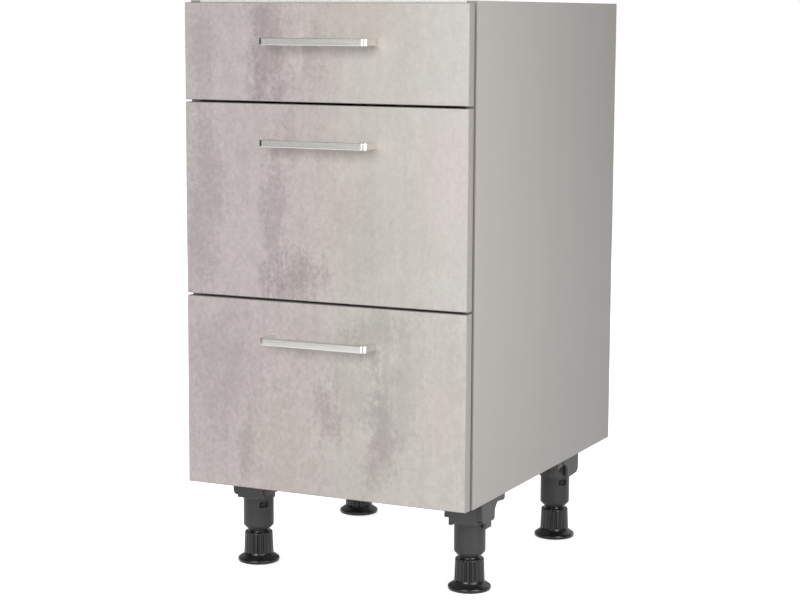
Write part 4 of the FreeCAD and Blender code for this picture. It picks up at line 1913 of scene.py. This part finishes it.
LAMPS = (
    Lamp("front_softbox", (0.3, -5.6, 2.2), (0.0, -0.25, 0.45), 3.0, 3.0, 172.0),
    Lamp("side_softbox", (0.98, -0.48, 0.62), (0.22, -0.25, 0.5), 0.4, 1.5, 7.0),
    Lamp("left_softbox", (-3.2, 0.7, 1.4), (-0.22, 0.0, 0.45), 2.0, 2.0, 56.0),
    Lamp("rear_softbox", (-0.9, 4.0, 1.7), (0.0, 0.3, 0.45), 2.4, 2.4, 84.0),
    Lamp("top_softbox", (-0.2, 0.5, 3.6), (0.0, 0.0, 0.8), 1.6, 1.6, 30.0),
)
CARDS = (
    Card("grey_card", -38.0, -15.0, 0.5),
    Card("black_flag_left", -100.0, -38.0, 0.04),
    Card("black_flag_camera", 14.0, 34.0, 0.04),
    Card("white_card_right", 36.0, 62.0, 3.2, low=0.5, high=2.0),
    Card("black_flag_right", 66.0, 110.0, 0.06),
    Card("dim_wall_right", 110.0, 142.0, 0.32),
    Card("pale_card_rear", 142.0, 172.0, 0.95, low=0.5, high=1.6),
    Card("dim_wall_left", 172.0, 260.0, 0.32),
    Card("dark_roof", 0.0, 360.0, 0.12, low=2.6),
)
DECOR = {
    Tier.TOP: (
        Patch(Tone.MAUVE, -88, 10, 60, 190, 0.62),
        Patch(Tone.MAUVE, -15, 8, 36, 70, 0.4),
        Patch(Tone.SAND, 40, 30, 160, 120, 0.3),
        Patch(Tone.MAUVE, -190, 10, 40, 120, 0.25),
    ),
    Tier.MIDDLE: (
        Patch(Tone.MAUVE, -192, -10, 54, 330, 0.32),
        Patch(Tone.MAUVE, -52, -114, 92, 84, 0.62),
        Patch(Tone.MAUVE, -80, -40, 34, 190, 0.45),
        Patch(Tone.MAUVE, -52, 90, 20, 110, 0.3),
        Patch(Tone.SLATE, 60, -60, 44, 190, 0.32),
        Patch(Tone.SAND, 80, -10, 190, 300, 0.26),
        Patch(Tone.ROSE, 198, 60, 70, 190, 0.6),
    ),
    Tier.BOTTOM: (
        Patch(Tone.MAUVE, -150, 30, 150, 170, 0.24),
        Patch(Tone.MAUVE, -126, -75, 26, 110, 0.35),
        Patch(Tone.SAND, -66, -72, 92, 150, 0.6),
        Patch(Tone.SLATE, 46, 22, 60, 110, 0.5),
        Patch(Tone.MAUVE, 10, -18, 44, 70, 0.5),
        Patch(Tone.MAUVE, 90, -36, 42, 150, 0.56),
        Patch(Tone.SLATE, 80, 100, 80, 60, 0.8),
        Patch(Tone.SLATE, 127, 30, 56, 170, 0.45),
        Patch(Tone.SAND, 190, -20, 90, 260, 0.45),
    ),
}
WINDOW_HEADINGS = {"front_left": 50.0, "front_right": 230.0, "rear_left": 50.0, "rear_right": 55.0}


def main() -> None:
    """Builds the cabinet from its sub-assemblies, in the order that it goes together, and then the studio."""
    logging.basicConfig(level=logging.INFO, format="%(name)s: %(message)s")
    bpy.context.scene.view_settings.view_transform = "Standard"
    assemblies = [Carcass()]
    for place, heading in WINDOW_HEADINGS.items():
        assemblies.append(LevellingLeg(place, heading, lugged=place == "front_right"))
    assemblies += [Drawer(tier, DECOR[tier]) for tier in Tier]
    for assembly in assemblies:
        for piece in assembly.build():
            LOG.info("%s is in place", piece.name)
    Studio().build()
    StudioCamera().build()


if __name__ == "__main__":
    main()
